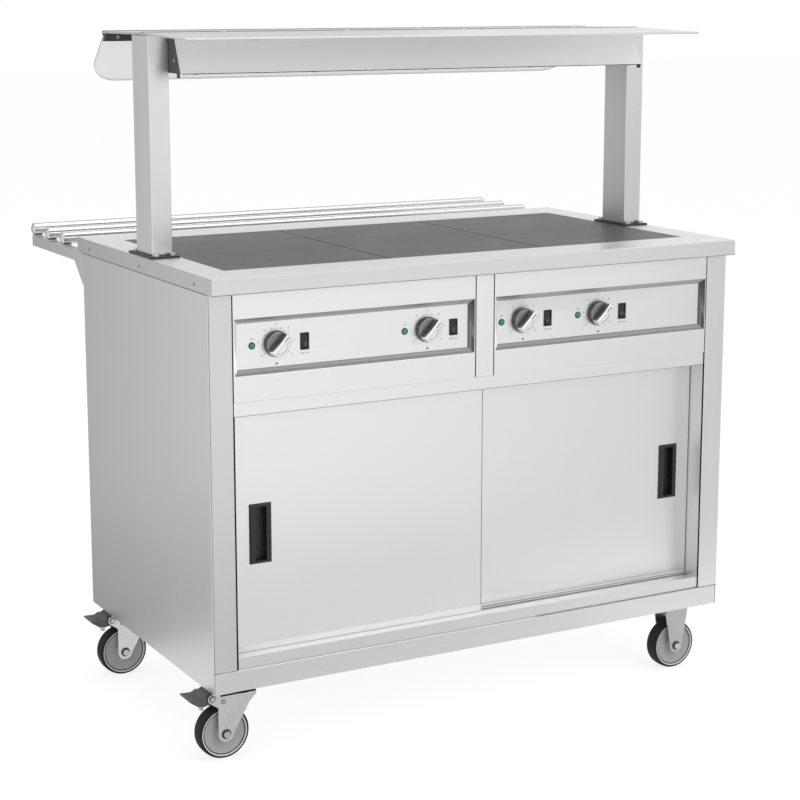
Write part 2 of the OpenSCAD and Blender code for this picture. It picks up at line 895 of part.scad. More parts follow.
module axle_front_left() {
  color("gray") at_left(0) {
    translate([-trail, 0, 0]) axle_bolt();
    pivot_pin();
  }
}

module axle_rear_left() {
  color("gray") at_left(1) {
    translate([-trail, 0, 0]) axle_bolt();
    pivot_pin();
  }
}

module axles_right() {
  color("gray") for (i = [0, 1]) at_right(i) axle_bolt();
}

// A foot pedal whose set screw comes down on the tyre
module brake_pedal() {
  w = fork_in - 1;
  r = pedal_reach;
  translate([pivot_x, 0, pivot_z]) difference() {
    union() {
      along_y(-w, w)
        polygon([[-14, -10.5], [-14, 9], [-4, 14], [3, 14], [10, 6], [10, -6], [4, -9], [-6, -12]]);
      along_y(-pedal_w / 2, pedal_w / 2)
        polygon([[-r, 2], [-r, 5], [21 - r, 4], [-13, 9.5], [-13, -11], [16 - r, -9]]);
      translate([-14, 0, -25]) cylinder(h = 17, d = 8);
      translate([-14, 0, -18.5]) cylinder(h = 5.5, d = 13, $fn = 6);
    }
    bar_y(0, 0, -w - 1, w + 1, pivot_d + 2 * run);
  }
}

module brake_pedal_front() {
  color("dimgray") at_left(0) brake_pedal();
}

module brake_pedal_rear() {
  color("dimgray") at_left(1) brake_pedal();
}

// ---- Gantry ----

base_x0 = post_in_x - 9;
base_x1 = post_in_x + post_w + 8;
base_y0 = post_y0 - 16;
base_y1 = post_y1 + 19;

module both_ends() {
  children();
  other_end() children();
}

module gantry_posts() {
  z0 = worktop_h + base_t;
  color("silver") placed() both_ends() difference() {
    block([post_in_x, post_y0, z0], [post_in_x + post_w, post_y1, post_top]);
    block([post_in_x + sheet_t, post_y0 + sheet_t, z0 - 1],
          [post_in_x + post_w - sheet_t, post_y1 - sheet_t, post_top - sheet_t]);
  }
}

module post_bases() {
  color("black") placed() both_ends() union() {
    block([base_x0, base_y0, worktop_h], [base_x1, base_y1, worktop_h + base_t]);
    for (x = [base_x0 + 13, base_x1 - 12], y = [base_y0 + 8, base_y1 - 9])
      translate([x, y, worktop_h + base_t - 1]) cylinder(h = 6, d = 13, $fn = 6);
  }
}

// Dome screws along the ridge and along the rear edge
module shelf_screws() {
  cols = [9, 162, 422];
  for (c = cols, x = [shelf_in_x + c, worktop_w - shelf_in_x - c], y = [ridge_y - 6, shelf_rear_y - 16])
    translate([x, y, shelf_z(y) - 1]) {
      cylinder(h = 1.6, d = 11);
      translate([0, 0, 1.6]) intersection() {
        translate([0, 0, -8]) sphere(r = 9.7);
        cylinder(h = 4, d = 11);
      }
    }
}

module gantry_shelf() {
  t = shelf_t;
  s = sheet_t;
  x0 = shelf_in_x;
  x1 = worktop_w - shelf_in_x;
  z0 = shelf_z(shelf_front_y);
  z1 = shelf_rear_z;
  color("gainsboro") placed() union() {
    along_x(x0, x1)
      polygon([[shelf_front_y, z0], [ridge_y, ridge_z], [shelf_rear_y, z1],
               [shelf_rear_y, z1 - t - 2], [shelf_rear_y - s, z1 - t - 2], [shelf_rear_y - s, z1 - t],
               [ridge_y, ridge_z - t], [shelf_front_y, z0 - t]]);
    shelf_screws();
  }
}

module lamp_housing() {
  t = sheet_t;
  a = apron_lean;
  lip = 14;
  z0 = housing_z0;
  z1 = housing_z1;
  y0 = housing_y0;
  y1 = housing_y1;
  color("gainsboro") placed() union() {
    along_x(housing_x0, housing_x1)
      polygon([[y0, z0], [y0 + a, z1], [y1 - a, z1], [y1, z0], [y1 - lip, z0], [y1 - lip, z0 + t],
               [y1 - t - 1, z0 + t], [y1 - a - t, z1 - t], [y0 + a + t, z1 - t],
               [y0 + t + 1, z0 + t], [y0 + lip, z0 + t], [y0 + lip, z0]]);
    for (i = [0:4])
      translate([housing_x0 + 29 + i * (housing_x1 - housing_x0 - 58) / 4, y0 + 7, z0 - 2])
        cylinder(h = 3, d = 8);
  }
}

module housing_caps() {
  color("black") placed() both_ends() union() {
    along_x(post_in_x + post_w, housing_x0)
      polygon([[housing_y0, housing_z0], [housing_y0 + apron_lean, housing_z1],
               [housing_y1 - apron_lean, housing_z1], [housing_y1, housing_z0]]);
    block([post_in_x + post_w, housing_y0 + 9, housing_z0 - 8], [housing_x0, housing_y0 + 19, housing_z0]);
  }
}

// Quartz tubes, each in two holders that hang from the housing's roof
module heat_lamps() {
  pitch = (housing_x1 - housing_x0) / lamps;
  y = post_mid_y - 1;
  z = housing_z0 + quartz_rise;
  roof = housing_z1 - sheet_t;
  color("wheat") placed() for (i = [0:lamps - 1]) {
    x = housing_x0 + (i + 0.5) * pitch;
    bar_x(y, z, x - quartz_half, x + quartz_half, quartz_d);
    for (s = [x - quartz_half - holder_t, x + quartz_half])
      block([s, y - 10, z - 10], [s + holder_t, y + 10, roof]);
  }
}

module glass_clamp() {
  color("dimgray") placed() difference() {
    block([shelf_in_x, clamp_y0, clamp_z1 - clamp_h], [worktop_w - shelf_in_x, clamp_y1, clamp_z1]);
    translate([shelf_in_x - 1, glass_y, glass_z]) rotate([-45, 0, 0])
      translate([0, -gap, -glass_t / 2 - gap])
        cube([worktop_w - 2 * shelf_in_x + 2, 20, glass_t + 2 * gap]);
  }
}

// A flat pane with two round bottom corners, leaning out over the tray slide
module sneeze_glass() {
  w = worktop_w - 2 * shelf_in_x;
  l = glass_l;
  r = glass_r;
  color("lightblue", 0.4) placed() translate([shelf_in_x, glass_y, glass_z]) rotate([-45, 0, 0])
    translate([0, 0, -glass_t / 2]) linear_extrude(glass_t) {
      square([w, l - r]);
      translate([r, 0]) square([w - 2 * r, l]);
      translate([r, l - r]) circle(r = r, $fn = 96);
      translate([w - r, l - r]) circle(r = r, $fn = 96);
    }
}

// ---- Tray slide ----

module tray_rails() {
  dome = tube_d * 0.8;
  color("silver") placed() for (y = tubes) {
    difference() {
      bar_x(y, tube_z, cap_h, worktop_w - cap_h, tube_d);
      bar_x(y, tube_z, 20, worktop_w - 20, tube_d - 3);
    }
    both_ends() translate([cap_h, y, tube_z]) intersection() {
      translate([dome - cap_h, 0, 0]) sphere(r = dome);
      bar_x(0, 0, -cap_h, 0, tube_d);
    }
  }
}

module tray_brackets() {
  z0 = arm_z0;
  color("silver") placed() both_ends() union() {
    along_x(bracket_x, bracket_x + bracket_t)
      polygon([[rear_y, arm_z1], [box_y1, arm_z1], [box_y1, z0], [rear_y + gusset_l, z0],
               [rear_y + 17, z0 - foot_h + 10], [rear_y, z0 - foot_h]]);
    block([bracket_x, rear_y, z0 - foot_h], [bracket_x + foot_w, rear_y + 3, arm_z1]);
    block([bracket_x, rear_y, arm_z1 - 3], [bracket_x + 18, box_y1, arm_z1]);
    for (y = tubes)
      block([bracket_x, y - 8, arm_z1 - 1], [bracket_x + 18, y + 8, saddle_z]);
  }
}

side_panel_left();
side_panel_right();
back_panel();
base_frame();
cupboard_floor();
cupboard_ceiling();
inner_shelf();
mullion();
control_panel_left();
control_panel_right();
door_header();
door_track();
door_left();
door_right();
door_pull_left();
door_pull_right();
worktop();
hot_plates();
plate_heaters();
cupboard_heater();
thermostats();
switch_housings();
pilot_lamps();
knob_1();
knob_2();
knob_3();
knob_4();
rocker_1();
rocker_2();
rocker_3();
rocker_4();
cable_gland();
castor_plates();
castor_bolts();
swivel_fork_front();
swivel_fork_rear();
fixed_forks();
wheel_front_left();
wheel_rear_left();
wheel_front_right();
wheel_rear_right();
tyre_front_left();
tyre_rear_left();
tyre_front_right();
tyre_rear_right();
axle_front_left();
axle_rear_left();
axles_right();
brake_pedal_front();
brake_pedal_rear();
gantry_posts();
post_bases();
gantry_shelf();
lamp_housing();
housing_caps();
heat_lamps();
glass_clamp();
sneeze_glass();
tray_rails();
tray_brackets();
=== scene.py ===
"""Hostess trolley, dressed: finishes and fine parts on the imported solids.

Sizes in the making functions are millimetres, measured from the worktop's left front corner and from the
floor, as in the part's source. at() turns such a point into the frame's metres.
"""

import math

import bmesh
import bpy
from mathutils import Matrix, Vector


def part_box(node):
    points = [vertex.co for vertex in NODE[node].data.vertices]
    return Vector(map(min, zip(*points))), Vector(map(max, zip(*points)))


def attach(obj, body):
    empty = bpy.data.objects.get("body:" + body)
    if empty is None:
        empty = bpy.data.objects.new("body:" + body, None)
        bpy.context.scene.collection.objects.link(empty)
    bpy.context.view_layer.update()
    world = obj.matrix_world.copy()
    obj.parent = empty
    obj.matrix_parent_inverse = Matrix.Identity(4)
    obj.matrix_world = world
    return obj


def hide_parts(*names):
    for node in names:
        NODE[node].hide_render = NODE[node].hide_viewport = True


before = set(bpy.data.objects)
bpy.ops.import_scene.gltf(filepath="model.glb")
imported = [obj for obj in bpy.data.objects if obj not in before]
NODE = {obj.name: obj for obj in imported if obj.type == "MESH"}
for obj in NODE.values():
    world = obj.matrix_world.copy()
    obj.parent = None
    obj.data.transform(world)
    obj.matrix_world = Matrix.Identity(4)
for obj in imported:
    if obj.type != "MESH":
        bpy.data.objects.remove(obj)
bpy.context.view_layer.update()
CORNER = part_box("worktop")[0]


def at(x, y, z):
    """A point in worktop millimetres, in the frame's metres."""
    return Vector((CORNER.x + x / 1000, CORNER.y + y / 1000, z / 1000))


def in_mm(place):
    """The frame's point in worktop millimetres."""
    return Vector(((place.x - CORNER.x) * 1000, (place.y - CORNER.y) * 1000, place.z * 1000))


def corners(node):
    """A solid's low and high corners in worktop millimetres, to the hundredth."""
    return [tuple(round(v, 2) for v in in_mm(corner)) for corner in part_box(node)]


# ---- Places on the trolley, in worktop millimetres ----

# Planes of the cabinet
OUT_LEFT = corners("side_panel_left")[0][0]
OUT_RIGHT = corners("side_panel_right")[1][0]
IN_LEFT = corners("cupboard_floor")[0][0]
IN_RIGHT = corners("cupboard_floor")[1][0]
(_, FRONT, BASE_Z), (_, REAR, UNDER_TOP) = corners("side_panel_left")
FLOOR_Z = corners("base_frame")[1][2]
TRACK_Z = corners("door_track")[1][2]
HEADER_Z, PANEL_Z = corners("door_header")[0][2], corners("door_header")[1][2]
MULLION_LEFT, MULLION_RIGHT = (corner[0] for corner in corners("mullion"))

# Controls: the knobs' axles, and how far their lamps and switches stand from them
KNOB_R = 24.0
KNOBS = [corners(f"knob_{i + 1}")[1][0] - KNOB_R for i in range(4)]
LAMP_OFF = 48.0
SWITCH_OFF = 55.5
INK_THICK = 0.08
INK_FACE_OFF = 0.02
NUMBER_R = 35.6
DIAL_SWEEP = 250.0
PANEL_MID = (PANEL_Z + UNDER_TOP) / 2
PANEL_FACE = FRONT + 10.0

# Hot plates and the two joints between them
PLATE_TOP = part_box("hot_plates")[1].z * 1000
PLATES_LOW, PLATES_HIGH = corners("hot_plates")
PLATE_W = (PLATES_HIGH[0] - PLATES_LOW[0]) / 3
PLATE_JOINTS = [PLATES_LOW[0] + PLATE_W, PLATES_HIGH[0] - PLATE_W]

# Doors: the skins' lower and upper edges
DOOR_FOOT, DOOR_HEAD = 206.0, 661.0

# Castors: the wheels' axles, and the swivel axis and brake pivot of the left ones
WHEEL_R = 50.0
TRAIL = 35.0
CASTOR_Y = [sum(corner[1] for corner in corners("tyre_" + end + "_left")) / 2 for end in ("front", "rear")]
TRAIL_X = corners("tyre_front_left")[1][0] - WHEEL_R
SWIVEL_X = TRAIL_X + TRAIL
FIXED_X = corners("tyre_front_right")[1][0] - WHEEL_R
PIVOT_X = TRAIL_X - 26.0
PIVOT_Z = WHEEL_R + 71.0
FORK_SIDE = 22.0
RACE_Z = 131.2

# Gantry: the shelf slopes both ways from its ridge
RIDGE_Y, RIDGE_Z = 336.0, 1312.0
FRONT_RUN, FRONT_DROP = 214.0, 6.0
REAR_RUN, REAR_DROP = 200.0, 1.0
POST_W = 40.0
HOOD_FOOT = 1239.0
HOOD_LEFT, HOOD_RIGHT = (corner[0] for corner in corners("lamp_housing"))
SHELF_LEFT, SHELF_RIGHT = (corner[0] for corner in corners("gantry_shelf"))
LAMP_PITCH = (HOOD_RIGHT - HOOD_LEFT) / 4
LAMP_Y = sum(corner[1] for corner in corners("lamp_housing")) / 2
LAMP_Z = corners("heat_lamps")[0][2] + 10.0
HALF_LAMP = 90.0

# Tray slide
TUBES = [783.5, 875.5, 967.5]
TUBE_Z = 885.0
TUBE_R = 12.5


def placed(name, data):
    """A new object in the scene."""
    thing = bpy.data.objects.new(name, data)
    bpy.context.scene.collection.objects.link(thing)
    return thing


def blank_material(name):
    """A material whose tree is empty."""
    material = bpy.data.materials.new(name)
    material.use_nodes = True
    material.node_tree.nodes.clear()
    return material


def plain_mesh(thing):
    """The mesh of an object with its modifiers or its lettering worked out."""
    return bpy.data.meshes.new_from_object(thing.evaluated_get(bpy.context.evaluated_depsgraph_get()))


# ---- Node benches ----

class Wire:
    """One output socket. Arithmetic on it adds Math nodes to its tree."""

    def __init__(self, bench, socket):
        self.bench = bench
        self.socket = socket

    def out(self, key):
        """Another output of the same node."""
        return Wire(self.bench, self.socket.node.outputs[key])

    def math(self, operation, first, second=0.0):
        return self.bench.add("ShaderNodeMath", {"operation": operation}, {0: first, 1: second})

    def __add__(self, other):
        return self.math("ADD", self, other)

    def __radd__(self, other):
        return self.math("ADD", other, self)

    def __sub__(self, other):
        return self.math("SUBTRACT", self, other)

    def __rsub__(self, other):
        return self.math("SUBTRACT", other, self)

    def __mul__(self, other):
        return self.math("MULTIPLY", self, other)

    def __rmul__(self, other):
        return self.math("MULTIPLY", other, self)

    def __truediv__(self, other):
        return self.math("DIVIDE", self, other)

    def __rtruediv__(self, other):
        return self.math("DIVIDE", other, self)

    def __gt__(self, other):
        return self.math("GREATER_THAN", self, other)

    def __lt__(self, other):
        return self.math("LESS_THAN", self, other)


class Bench:
    """Puts nodes into a shader or geometry tree."""

    def __init__(self, tree):
        self.tree = tree

    def add(self, kind, settings=None, sockets=None, out=0):
        """A node with its settings, then the values or wires of its sockets; gives one output."""
        node = self.tree.nodes.new(kind)
        for key, value in (settings or {}).items():
            if key == "stops":
                ramp = node.color_ramp
                while len(ramp.elements) < len(value):
                    ramp.elements.new(0.5)
                for element, (place, colour) in zip(ramp.elements, value):
                    element.position = place
                    element.color = colour if len(colour) == 4 else (*colour, 1.0)
            else:
                setattr(node, key, value)
        for key, value in (sockets or {}).items():
            if isinstance(value, Wire):
                self.tree.links.new(value.socket, node.inputs[key])
            elif isinstance(value, list):
                for wire in reversed(value):
                    self.tree.links.new(wire.socket, node.inputs[key])
            else:
                node.inputs[key].default_value = value
        return Wire(self, node.outputs[out]) if node.outputs else node

    def blend(self, share, first, second):
        """A colour between two colours."""
        return self.add("ShaderNodeMix", {"data_type": "RGBA"},
                        {0: share, 6: rgba(first), 7: rgba(second)}, out=2)

    def clamp(self, value, low, high, to_low=0.0, to_high=1.0):
        """The value's range low..high spread over to_low..to_high, and held there."""
        return self.add("ShaderNodeMapRange", {"clamp": True},
                        {"Value": value, "From Min": low, "From Max": high,
                         "To Min": to_low, "To Max": to_high})


def rgba(colour):
    """A colour with its fourth value, or the wire that carries one."""
    if isinstance(colour, Wire) or len(colour) == 4:
        return colour
    return (*colour, 1.0)


def shade(colour, factor):
    """A colour made darker or lighter, and held at white."""
    return tuple(min(c * factor, 1.0) for c in colour)


# ---- Finishes ----

BARE_STEEL = (0.55, 0.55, 0.56)


class Finish(Bench):
    """One surface finish with a Principled shader at its end."""

    def __init__(self, name):
        self.material = blank_material(name)
        super().__init__(self.material.node_tree)
        self.place = self.add("ShaderNodeTexCoord", out="Object")

    def stretched(self, scale, turn=(0, 0, 0)):
        """Object coordinates, turned and scaled."""
        return self.add("ShaderNodeMapping", {}, {"Vector": self.place, "Scale": scale, "Rotation": turn})

    def noise(self, scale, detail=2.0, rough=0.5, turn=(0, 0, 0), warp=0.0):
        """Noise 0..1 whose grains are 1 / scale metres along each axis."""
        scale = scale if isinstance(scale, tuple) else (scale, scale, scale)
        return self.add("ShaderNodeTexNoise", {"noise_dimensions": "3D"},
                        {"Vector": self.stretched(scale, turn), "Scale": 1.0, "Detail": detail,
                         "Roughness": rough, "Distortion": warp})

    def done(self, colour, rough, metal=0.0, bump=None, fixed=None):
        """bump is (height, strength, distance in metres); fixed holds sockets that are the same all over."""
        sockets = {"Base Color": rgba(colour), "Roughness": rough, "Metallic": metal}
        sockets.update(fixed or {})
        if bump:
            height, strength, distance = bump
            sockets["Normal"] = self.add("ShaderNodeBump", {}, {
                "Height": height, "Strength": strength, "Distance": distance})
        shader = self.add("ShaderNodeBsdfPrincipled", {}, sockets)
        self.add("ShaderNodeOutputMaterial", {}, {"Surface": shader})
        return self.material


def brushed_steel(name, colour, rough, along, streak=0.05, metal=1.0):
    """Satin sheet: fine hairlines along one axis, slow clouding from polish, and a few handling marks."""
    job = Finish(name)
    lie = "XYZ".index(along)
    hair = job.noise(tuple(9.0 if i == lie else 1300.0 for i in range(3)), detail=3.0, rough=0.6)
    band = job.noise(tuple(1.6 if i == lie else 120.0 for i in range(3)), detail=2.0)
    cloud = job.noise(2.3, detail=3.0, rough=0.55, warp=0.4)
    wipe = job.noise((11.0, 11.0, 5.0), detail=4.0, turn=(0.5, 0.3, 0.7), warp=0.8)
    scratch = job.noise((16.0, 900.0, 900.0), detail=1.0, turn=(0.3, 0.6, 0.4))
    marks = job.clamp(scratch, 0.72, 0.78) * job.clamp(cloud, 0.45, 0.6)
    tone = (hair - 0.5) * streak + (band - 0.5) * (streak * 0.7) + (cloud - 0.5) * 0.05
    dark = shade(colour, 0.86)
    light = shade(colour, 1.14)
    base = job.blend(job.clamp(tone + 0.5, 0.0, 1.0), dark, light)
    base = job.blend(marks * 0.25, base, shade(colour, 0.7))
    sheen = rough + (hair - 0.5) * 0.12 + (band - 0.5) * 0.05 + (wipe - 0.5) * 0.07 + marks * 0.1
    return job.done(base, sheen, metal, bump=(hair + band * 0.3 + marks, 0.12, 0.00004),
                    fixed={"Specular IOR Level": 0.5})


def polished_tube(name, colour, rough):
    """Drawn and polished tube: hairlines along X, faint rings of wear where trays slide."""
    job = Finish(name)
    hair = job.noise((14.0, 900.0, 900.0), detail=3.0)
    rub = job.noise((30.0, 6.0, 6.0), detail=4.0, warp=0.6)
    top = job.add("ShaderNodeSeparateXYZ", {}, {0: job.add("ShaderNodeNewGeometry", out="Normal")}, out="Z")
    worn = job.clamp(top, 0.75, 0.98) * job.clamp(rub, 0.42, 0.62)
    base = job.blend(hair, shade(colour, 0.93), shade(colour, 1.05))
    sheen = rough + (hair - 0.5) * 0.08 + worn * 0.12
    return job.done(base, sheen, 1.0, bump=(hair + worn, 0.1, 0.00003))


def zinc_plate(name, colour, rough):
    """Bright zinc on pressed steel: slow cloudy tone, faint blue and straw tints, fine orange peel."""
    job = Finish(name)
    cloud = job.noise(38.0, detail=4.0, rough=0.6, warp=0.7)
    tint = job.noise(17.0, detail=2.0, warp=0.4)
    pit = job.noise(900.0, detail=2.0)
    straw = (colour[0], colour[1] * 0.99, colour[2] * 0.96)
    blue = (colour[0] * 0.93, colour[1] * 0.95, colour[2] * 0.96)
    base = job.blend(job.clamp(tint, 0.35, 0.65), straw, blue)
    base = job.blend(job.clamp(cloud, 0.3, 0.8) * 0.35, base, shade(colour, 0.72))
    return job.done(base, rough + (cloud - 0.5) * 0.18, 1.0, bump=(pit + cloud * 0.5, 0.2, 0.00008))


def turned_metal(name, colour, rough, metal=1.0):
    """Small turned or plated fasteners: fine tool marks and a darker film in the hollows."""
    job = Finish(name)
    film = job.noise(260.0, detail=3.0, warp=0.5)
    pit = job.noise(2600.0, detail=2.0)
    base = job.blend(job.clamp(film, 0.35, 0.75), colour, shade(colour, 0.72))
    return job.done(base, rough + (film - 0.5) * 0.2, metal, bump=(pit, 0.2, 0.00003))


def moulded(name, colour, rough, grain, depth, lift=0.12, fixed=None):
    """Moulded plastic or rubber: a fine spark-eroded grain, cloudy gloss and rubbed lighter patches."""
    job = Finish(name)
    pore = job.noise(grain, detail=3.0, rough=0.6)
    cloud = job.noise(28.0, detail=3.0, warp=0.5)
    rubbed = job.clamp(job.noise(70.0, detail=4.0), 0.56, 0.75)
    light = tuple(min(c + lift * 0.5, 1.0) for c in colour)
    base = job.blend(rubbed * 0.3, colour, light)
    base = job.blend(job.clamp(pore, 0.3, 0.7) * 0.25, base, shade(colour, 0.75))
    sheen = rough + (cloud - 0.5) * 0.14 + (pore - 0.5) * 0.1
    return job.done(base, sheen, 0.0, bump=(pore, 0.35, depth), fixed=fixed)


def coated_steel(name, colour, rough):
    """Powder coat: leathery grain with small worn spots that show metal."""
    job = Finish(name)
    peel = job.noise(620.0, detail=3.0, rough=0.6)
    cloud = job.noise(24.0, detail=3.0)
    worn = job.clamp(job.noise(210.0, detail=5.0, rough=0.7), 0.69, 0.74)
    base = job.blend(job.clamp(peel, 0.25, 0.75), shade(colour, 0.7), shade(colour, 1.25))
    base = job.blend(worn * 0.6, base, BARE_STEEL)
    return job.done(base, rough + (cloud - 0.5) * 0.15 - worn * 0.2, worn * 0.8,
                    bump=(peel - worn, 0.5, 0.00015))


def ceramic_plate(name, colour, rough):
    """Dark glass ceramic: faint speckle, cooked-on haze, and fine rubbing marks from pans."""
    job = Finish(name)
    fleck = job.noise(1500.0, detail=1.0)
    haze = job.noise((6.0, 9.0, 9.0), detail=4.0, rough=0.6, warp=1.0)
    rub = job.noise((14.0, 420.0, 420.0), detail=3.0, turn=(0, 0, 0.35))
    base = job.blend(job.clamp(fleck, 0.5, 0.72), colour, shade(colour, 1.35))
    base = job.blend(job.clamp(haze, 0.45, 0.8) * 0.2, base, shade(colour, 1.6))
    sheen = rough + (haze - 0.5) * 0.16 + job.clamp(rub, 0.6, 0.75) * 0.06
    return job.done(base, sheen, 0.0, bump=(fleck + rub * 0.6, 0.06, 0.00003),
                    fixed={"Specular IOR Level": 0.22})


def pane(name, colour, clear, rough):
    """Thin clear glass with a trace of wiping marks."""
    job = Finish(name)
    wipe = job.noise((5.0, 60.0, 60.0), detail=4.0, turn=(0.78, 0, 0.2), warp=0.6)
    facing = job.add("ShaderNodeLayerWeight", {}, {"Blend": 0.35}, out="Facing")
    body = clear + facing * 0.35 + job.clamp(wipe, 0.55, 0.8) * 0.05
    base = job.blend(job.clamp(wipe, 0.5, 0.8), colour, shade(colour, 0.92))
    return job.done(base, rough + (wipe - 0.5) * 0.05, 0.0, fixed={"IOR": 1.5, "Alpha": body})


def lit_lens(name, colour, glow):
    """Translucent green lens: darker towards its rim, light in the middle, with moulded facets."""
    job = Finish(name)
    cell = job.add("ShaderNodeTexVoronoi", {"feature": "F1"},
                   {"Vector": job.stretched((1, 1, 1)), "Scale": 620.0}, out="Distance")
    cloud = job.noise(300.0, detail=2.0)
    base = job.blend(job.clamp(cell, 0.1, 0.6), shade(colour, 1.35),
                     shade(colour, 0.7))
    return job.done(base, 0.16 + (cloud - 0.5) * 0.08, 0.0, bump=(cell, 0.5, 0.0002), fixed={
        "Emission Color": job.blend(cell, glow, colour), "Emission Strength": 0.3,
        "Coat Weight": 0.5})


def printed_ink(name, colour):
    """Screen-printed ink with slightly broken edges."""
    job = Finish(name)
    speck = job.noise(4200.0, detail=2.0)
    base = job.blend(job.clamp(speck, 0.55, 0.8) * 0.35, colour, BARE_STEEL)
    return job.done(base, 0.55 + (speck - 0.5) * 0.2, 0.0, bump=(speck, 0.2, 0.00002))


FINISH = {
    # The side panels are one steel. The first finish is a darker copy, painted shade, for the left panel and the
    # back; the second is a lighter copy, painted light, for the right panel.
    "side": brushed_steel("steel_side", (0.64, 0.64, 0.64), 0.36, "Z", streak=0.09),
    "side_right_lit": brushed_steel("steel_side_right", (0.74, 0.74, 0.74), 0.36, "Z", streak=0.09),
    "door": brushed_steel("steel_door", (0.81, 0.81, 0.81), 0.34, "Z"),
    "band": brushed_steel("steel_band", (0.81, 0.81, 0.81), 0.34, "X"),
    "rail": brushed_steel("steel_rail", (0.70, 0.70, 0.70), 0.34, "X"),
    "top": brushed_steel("steel_top", (0.74, 0.74, 0.74), 0.32, "X", streak=0.03, metal=0.55),
    # Painted shade: a darker copy of the worktop's steel for its end faces.
    "edge": brushed_steel("steel_edge", (0.56, 0.56, 0.56), 0.36, "Y", streak=0.03),
    # Painted shade: darker copies of the panel steel for the slopes of the control panels' recesses, standing in
    # for the darker surroundings they reflect.
    "bevel": brushed_steel("steel_bevel", (0.40, 0.40, 0.40), 0.42, "X", streak=0.03),
    "bevel_low_shaded": brushed_steel("steel_bevel_low", (0.29, 0.29, 0.29), 0.46, "X", streak=0.03),
    "bevel_end_shaded": brushed_steel("steel_bevel_end", (0.13, 0.13, 0.13), 0.34, "Z", streak=0.12),
    "shelf": brushed_steel("steel_shelf", (0.64, 0.64, 0.64), 0.34, "X", streak=0.03),
    # Painted light: a brighter copy of the steel for the lamp hood, its end caps' fronts and the shelf's
    # underside, lifting them out of the shade under the shelf.
    "hood": brushed_steel("steel_hood", (0.96, 0.96, 0.96), 0.36, "X", streak=0.012),
    # Painted light: a lighter, less metallic copy of the side panels' steel for their inner returns.
    "return": brushed_steel("steel_return", (0.80, 0.80, 0.80), 0.45, "Z", streak=0.03, metal=0.7),
    "post": brushed_steel("steel_post", (0.67, 0.67, 0.67), 0.34, "Z", streak=0.03),
    "inside": brushed_steel("steel_inside", (0.58, 0.58, 0.58), 0.45, "X", streak=0.03),
    "arm": brushed_steel("steel_arm", (0.66, 0.66, 0.66), 0.36, "Y"),
    "tube": polished_tube("tube_polish", (0.62, 0.62, 0.62), 0.18),
    "zinc": zinc_plate("zinc_bright", (0.66, 0.66, 0.66), 0.28),
    "zinc_dull": zinc_plate("zinc_dull", (0.46, 0.46, 0.465), 0.34),
    "bolt": turned_metal("bolt_plated", (0.56, 0.56, 0.57), 0.3),
    "bolt_dark": turned_metal("bolt_dark", (0.09, 0.09, 0.095), 0.42, metal=0.6),
    "knob": brushed_steel("knob_satin", (0.86, 0.86, 0.86), 0.3, "X", streak=0.03),
    # Painted shade: darker copies of the knob's satin for its upper-left side; the darkest one also makes the
    # pointer line and a painted shadow at the knob's foot.
    "knob_side": brushed_steel("knob_side", (0.24, 0.24, 0.245), 0.30, "X", streak=0.45),
    "knob_ring": brushed_steel("knob_ring", (0.10, 0.10, 0.105), 0.28, "Y", streak=0.12),
    "black": moulded("black_plastic", (0.013, 0.013, 0.014), 0.42, 1500.0, 0.00005),
    "gloss": moulded("black_gloss", (0.014, 0.014, 0.015), 0.2, 900.0, 0.00001, lift=0.05),
    "coat": coated_steel("black_coat", (0.032, 0.032, 0.034), 0.5),
    "foam": moulded("cap_grained", (0.085, 0.085, 0.088), 0.7, 420.0, 0.0004, lift=0.14),
    "pedal": coated_steel("pedal_coat", (0.105, 0.108, 0.112), 0.42),
    "wheel": moulded("wheel_grey", (0.50, 0.50, 0.505), 0.42, 1100.0, 0.00006),
    "bead": moulded("tyre_bead", (0.88, 0.88, 0.885), 0.4, 1100.0, 0.00004),
    "tyre": moulded("tyre_rubber", (0.024, 0.0245, 0.026), 0.7, 1300.0, 0.00012, lift=0.04,
                    fixed={"Specular IOR Level": 0.2}),
    "plate": ceramic_plate("hot_plate", (0.07, 0.071, 0.072), 0.42),
    "pane": pane("glass_pane", (0.80, 0.84, 0.83), 0.12, 0.06),
    "pane_edge": pane("glass_edge", (0.40, 0.47, 0.45), 0.45, 0.15),
    "quartz": pane("quartz_tube", (0.86, 0.85, 0.80), 0.30, 0.12),
    "coil": turned_metal("lamp_coil", (0.36, 0.24, 0.15), 0.5),
    "ceramic": moulded("lamp_holder", (0.62, 0.60, 0.55), 0.7, 900.0, 0.0001),
    "heater": turned_metal("heater_rod", (0.22, 0.21, 0.20), 0.55),
    "lens": lit_lens("lens_green", (0.012, 0.17, 0.07), (0.12, 0.60, 0.30)),
    "ink": printed_ink("dial_ink", (0.05, 0.05, 0.055)),
    # Near-black: true joints, and painted shadow in gaps, grooves and under edges.
    "seal": moulded("seal_dark", (0.014, 0.014, 0.014), 0.8, 1200.0, 0.00004, lift=0.02,
                    fixed={"Specular IOR Level": 0.08}),
    # Dark grey: true joints, and painted shadow lines under overhangs and along folds.
    "seam": moulded("seam_grey", (0.17, 0.17, 0.175), 0.55, 1200.0, 0.00004),
    "glide": moulded("glide_white", (0.98, 0.98, 0.98), 0.4, 900.0, 0.00002, lift=0.02),
}


# ---- Making tools ----

POLE_R = 0.001  # a pole's ring in millimetres, small enough to close when doubles are joined


def keep_piece(name, mesh, body, finishes, stands_for=()):
    """Puts a finished mesh on its body. finishes are keys of FINISH, in material order."""
    if mesh.materials:
        mesh.materials.clear()
    for key in finishes:
        mesh.materials.append(FINISH[key])
    piece = placed(name, mesh)
    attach(piece, body)
    if stands_for:
        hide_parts(*stands_for)


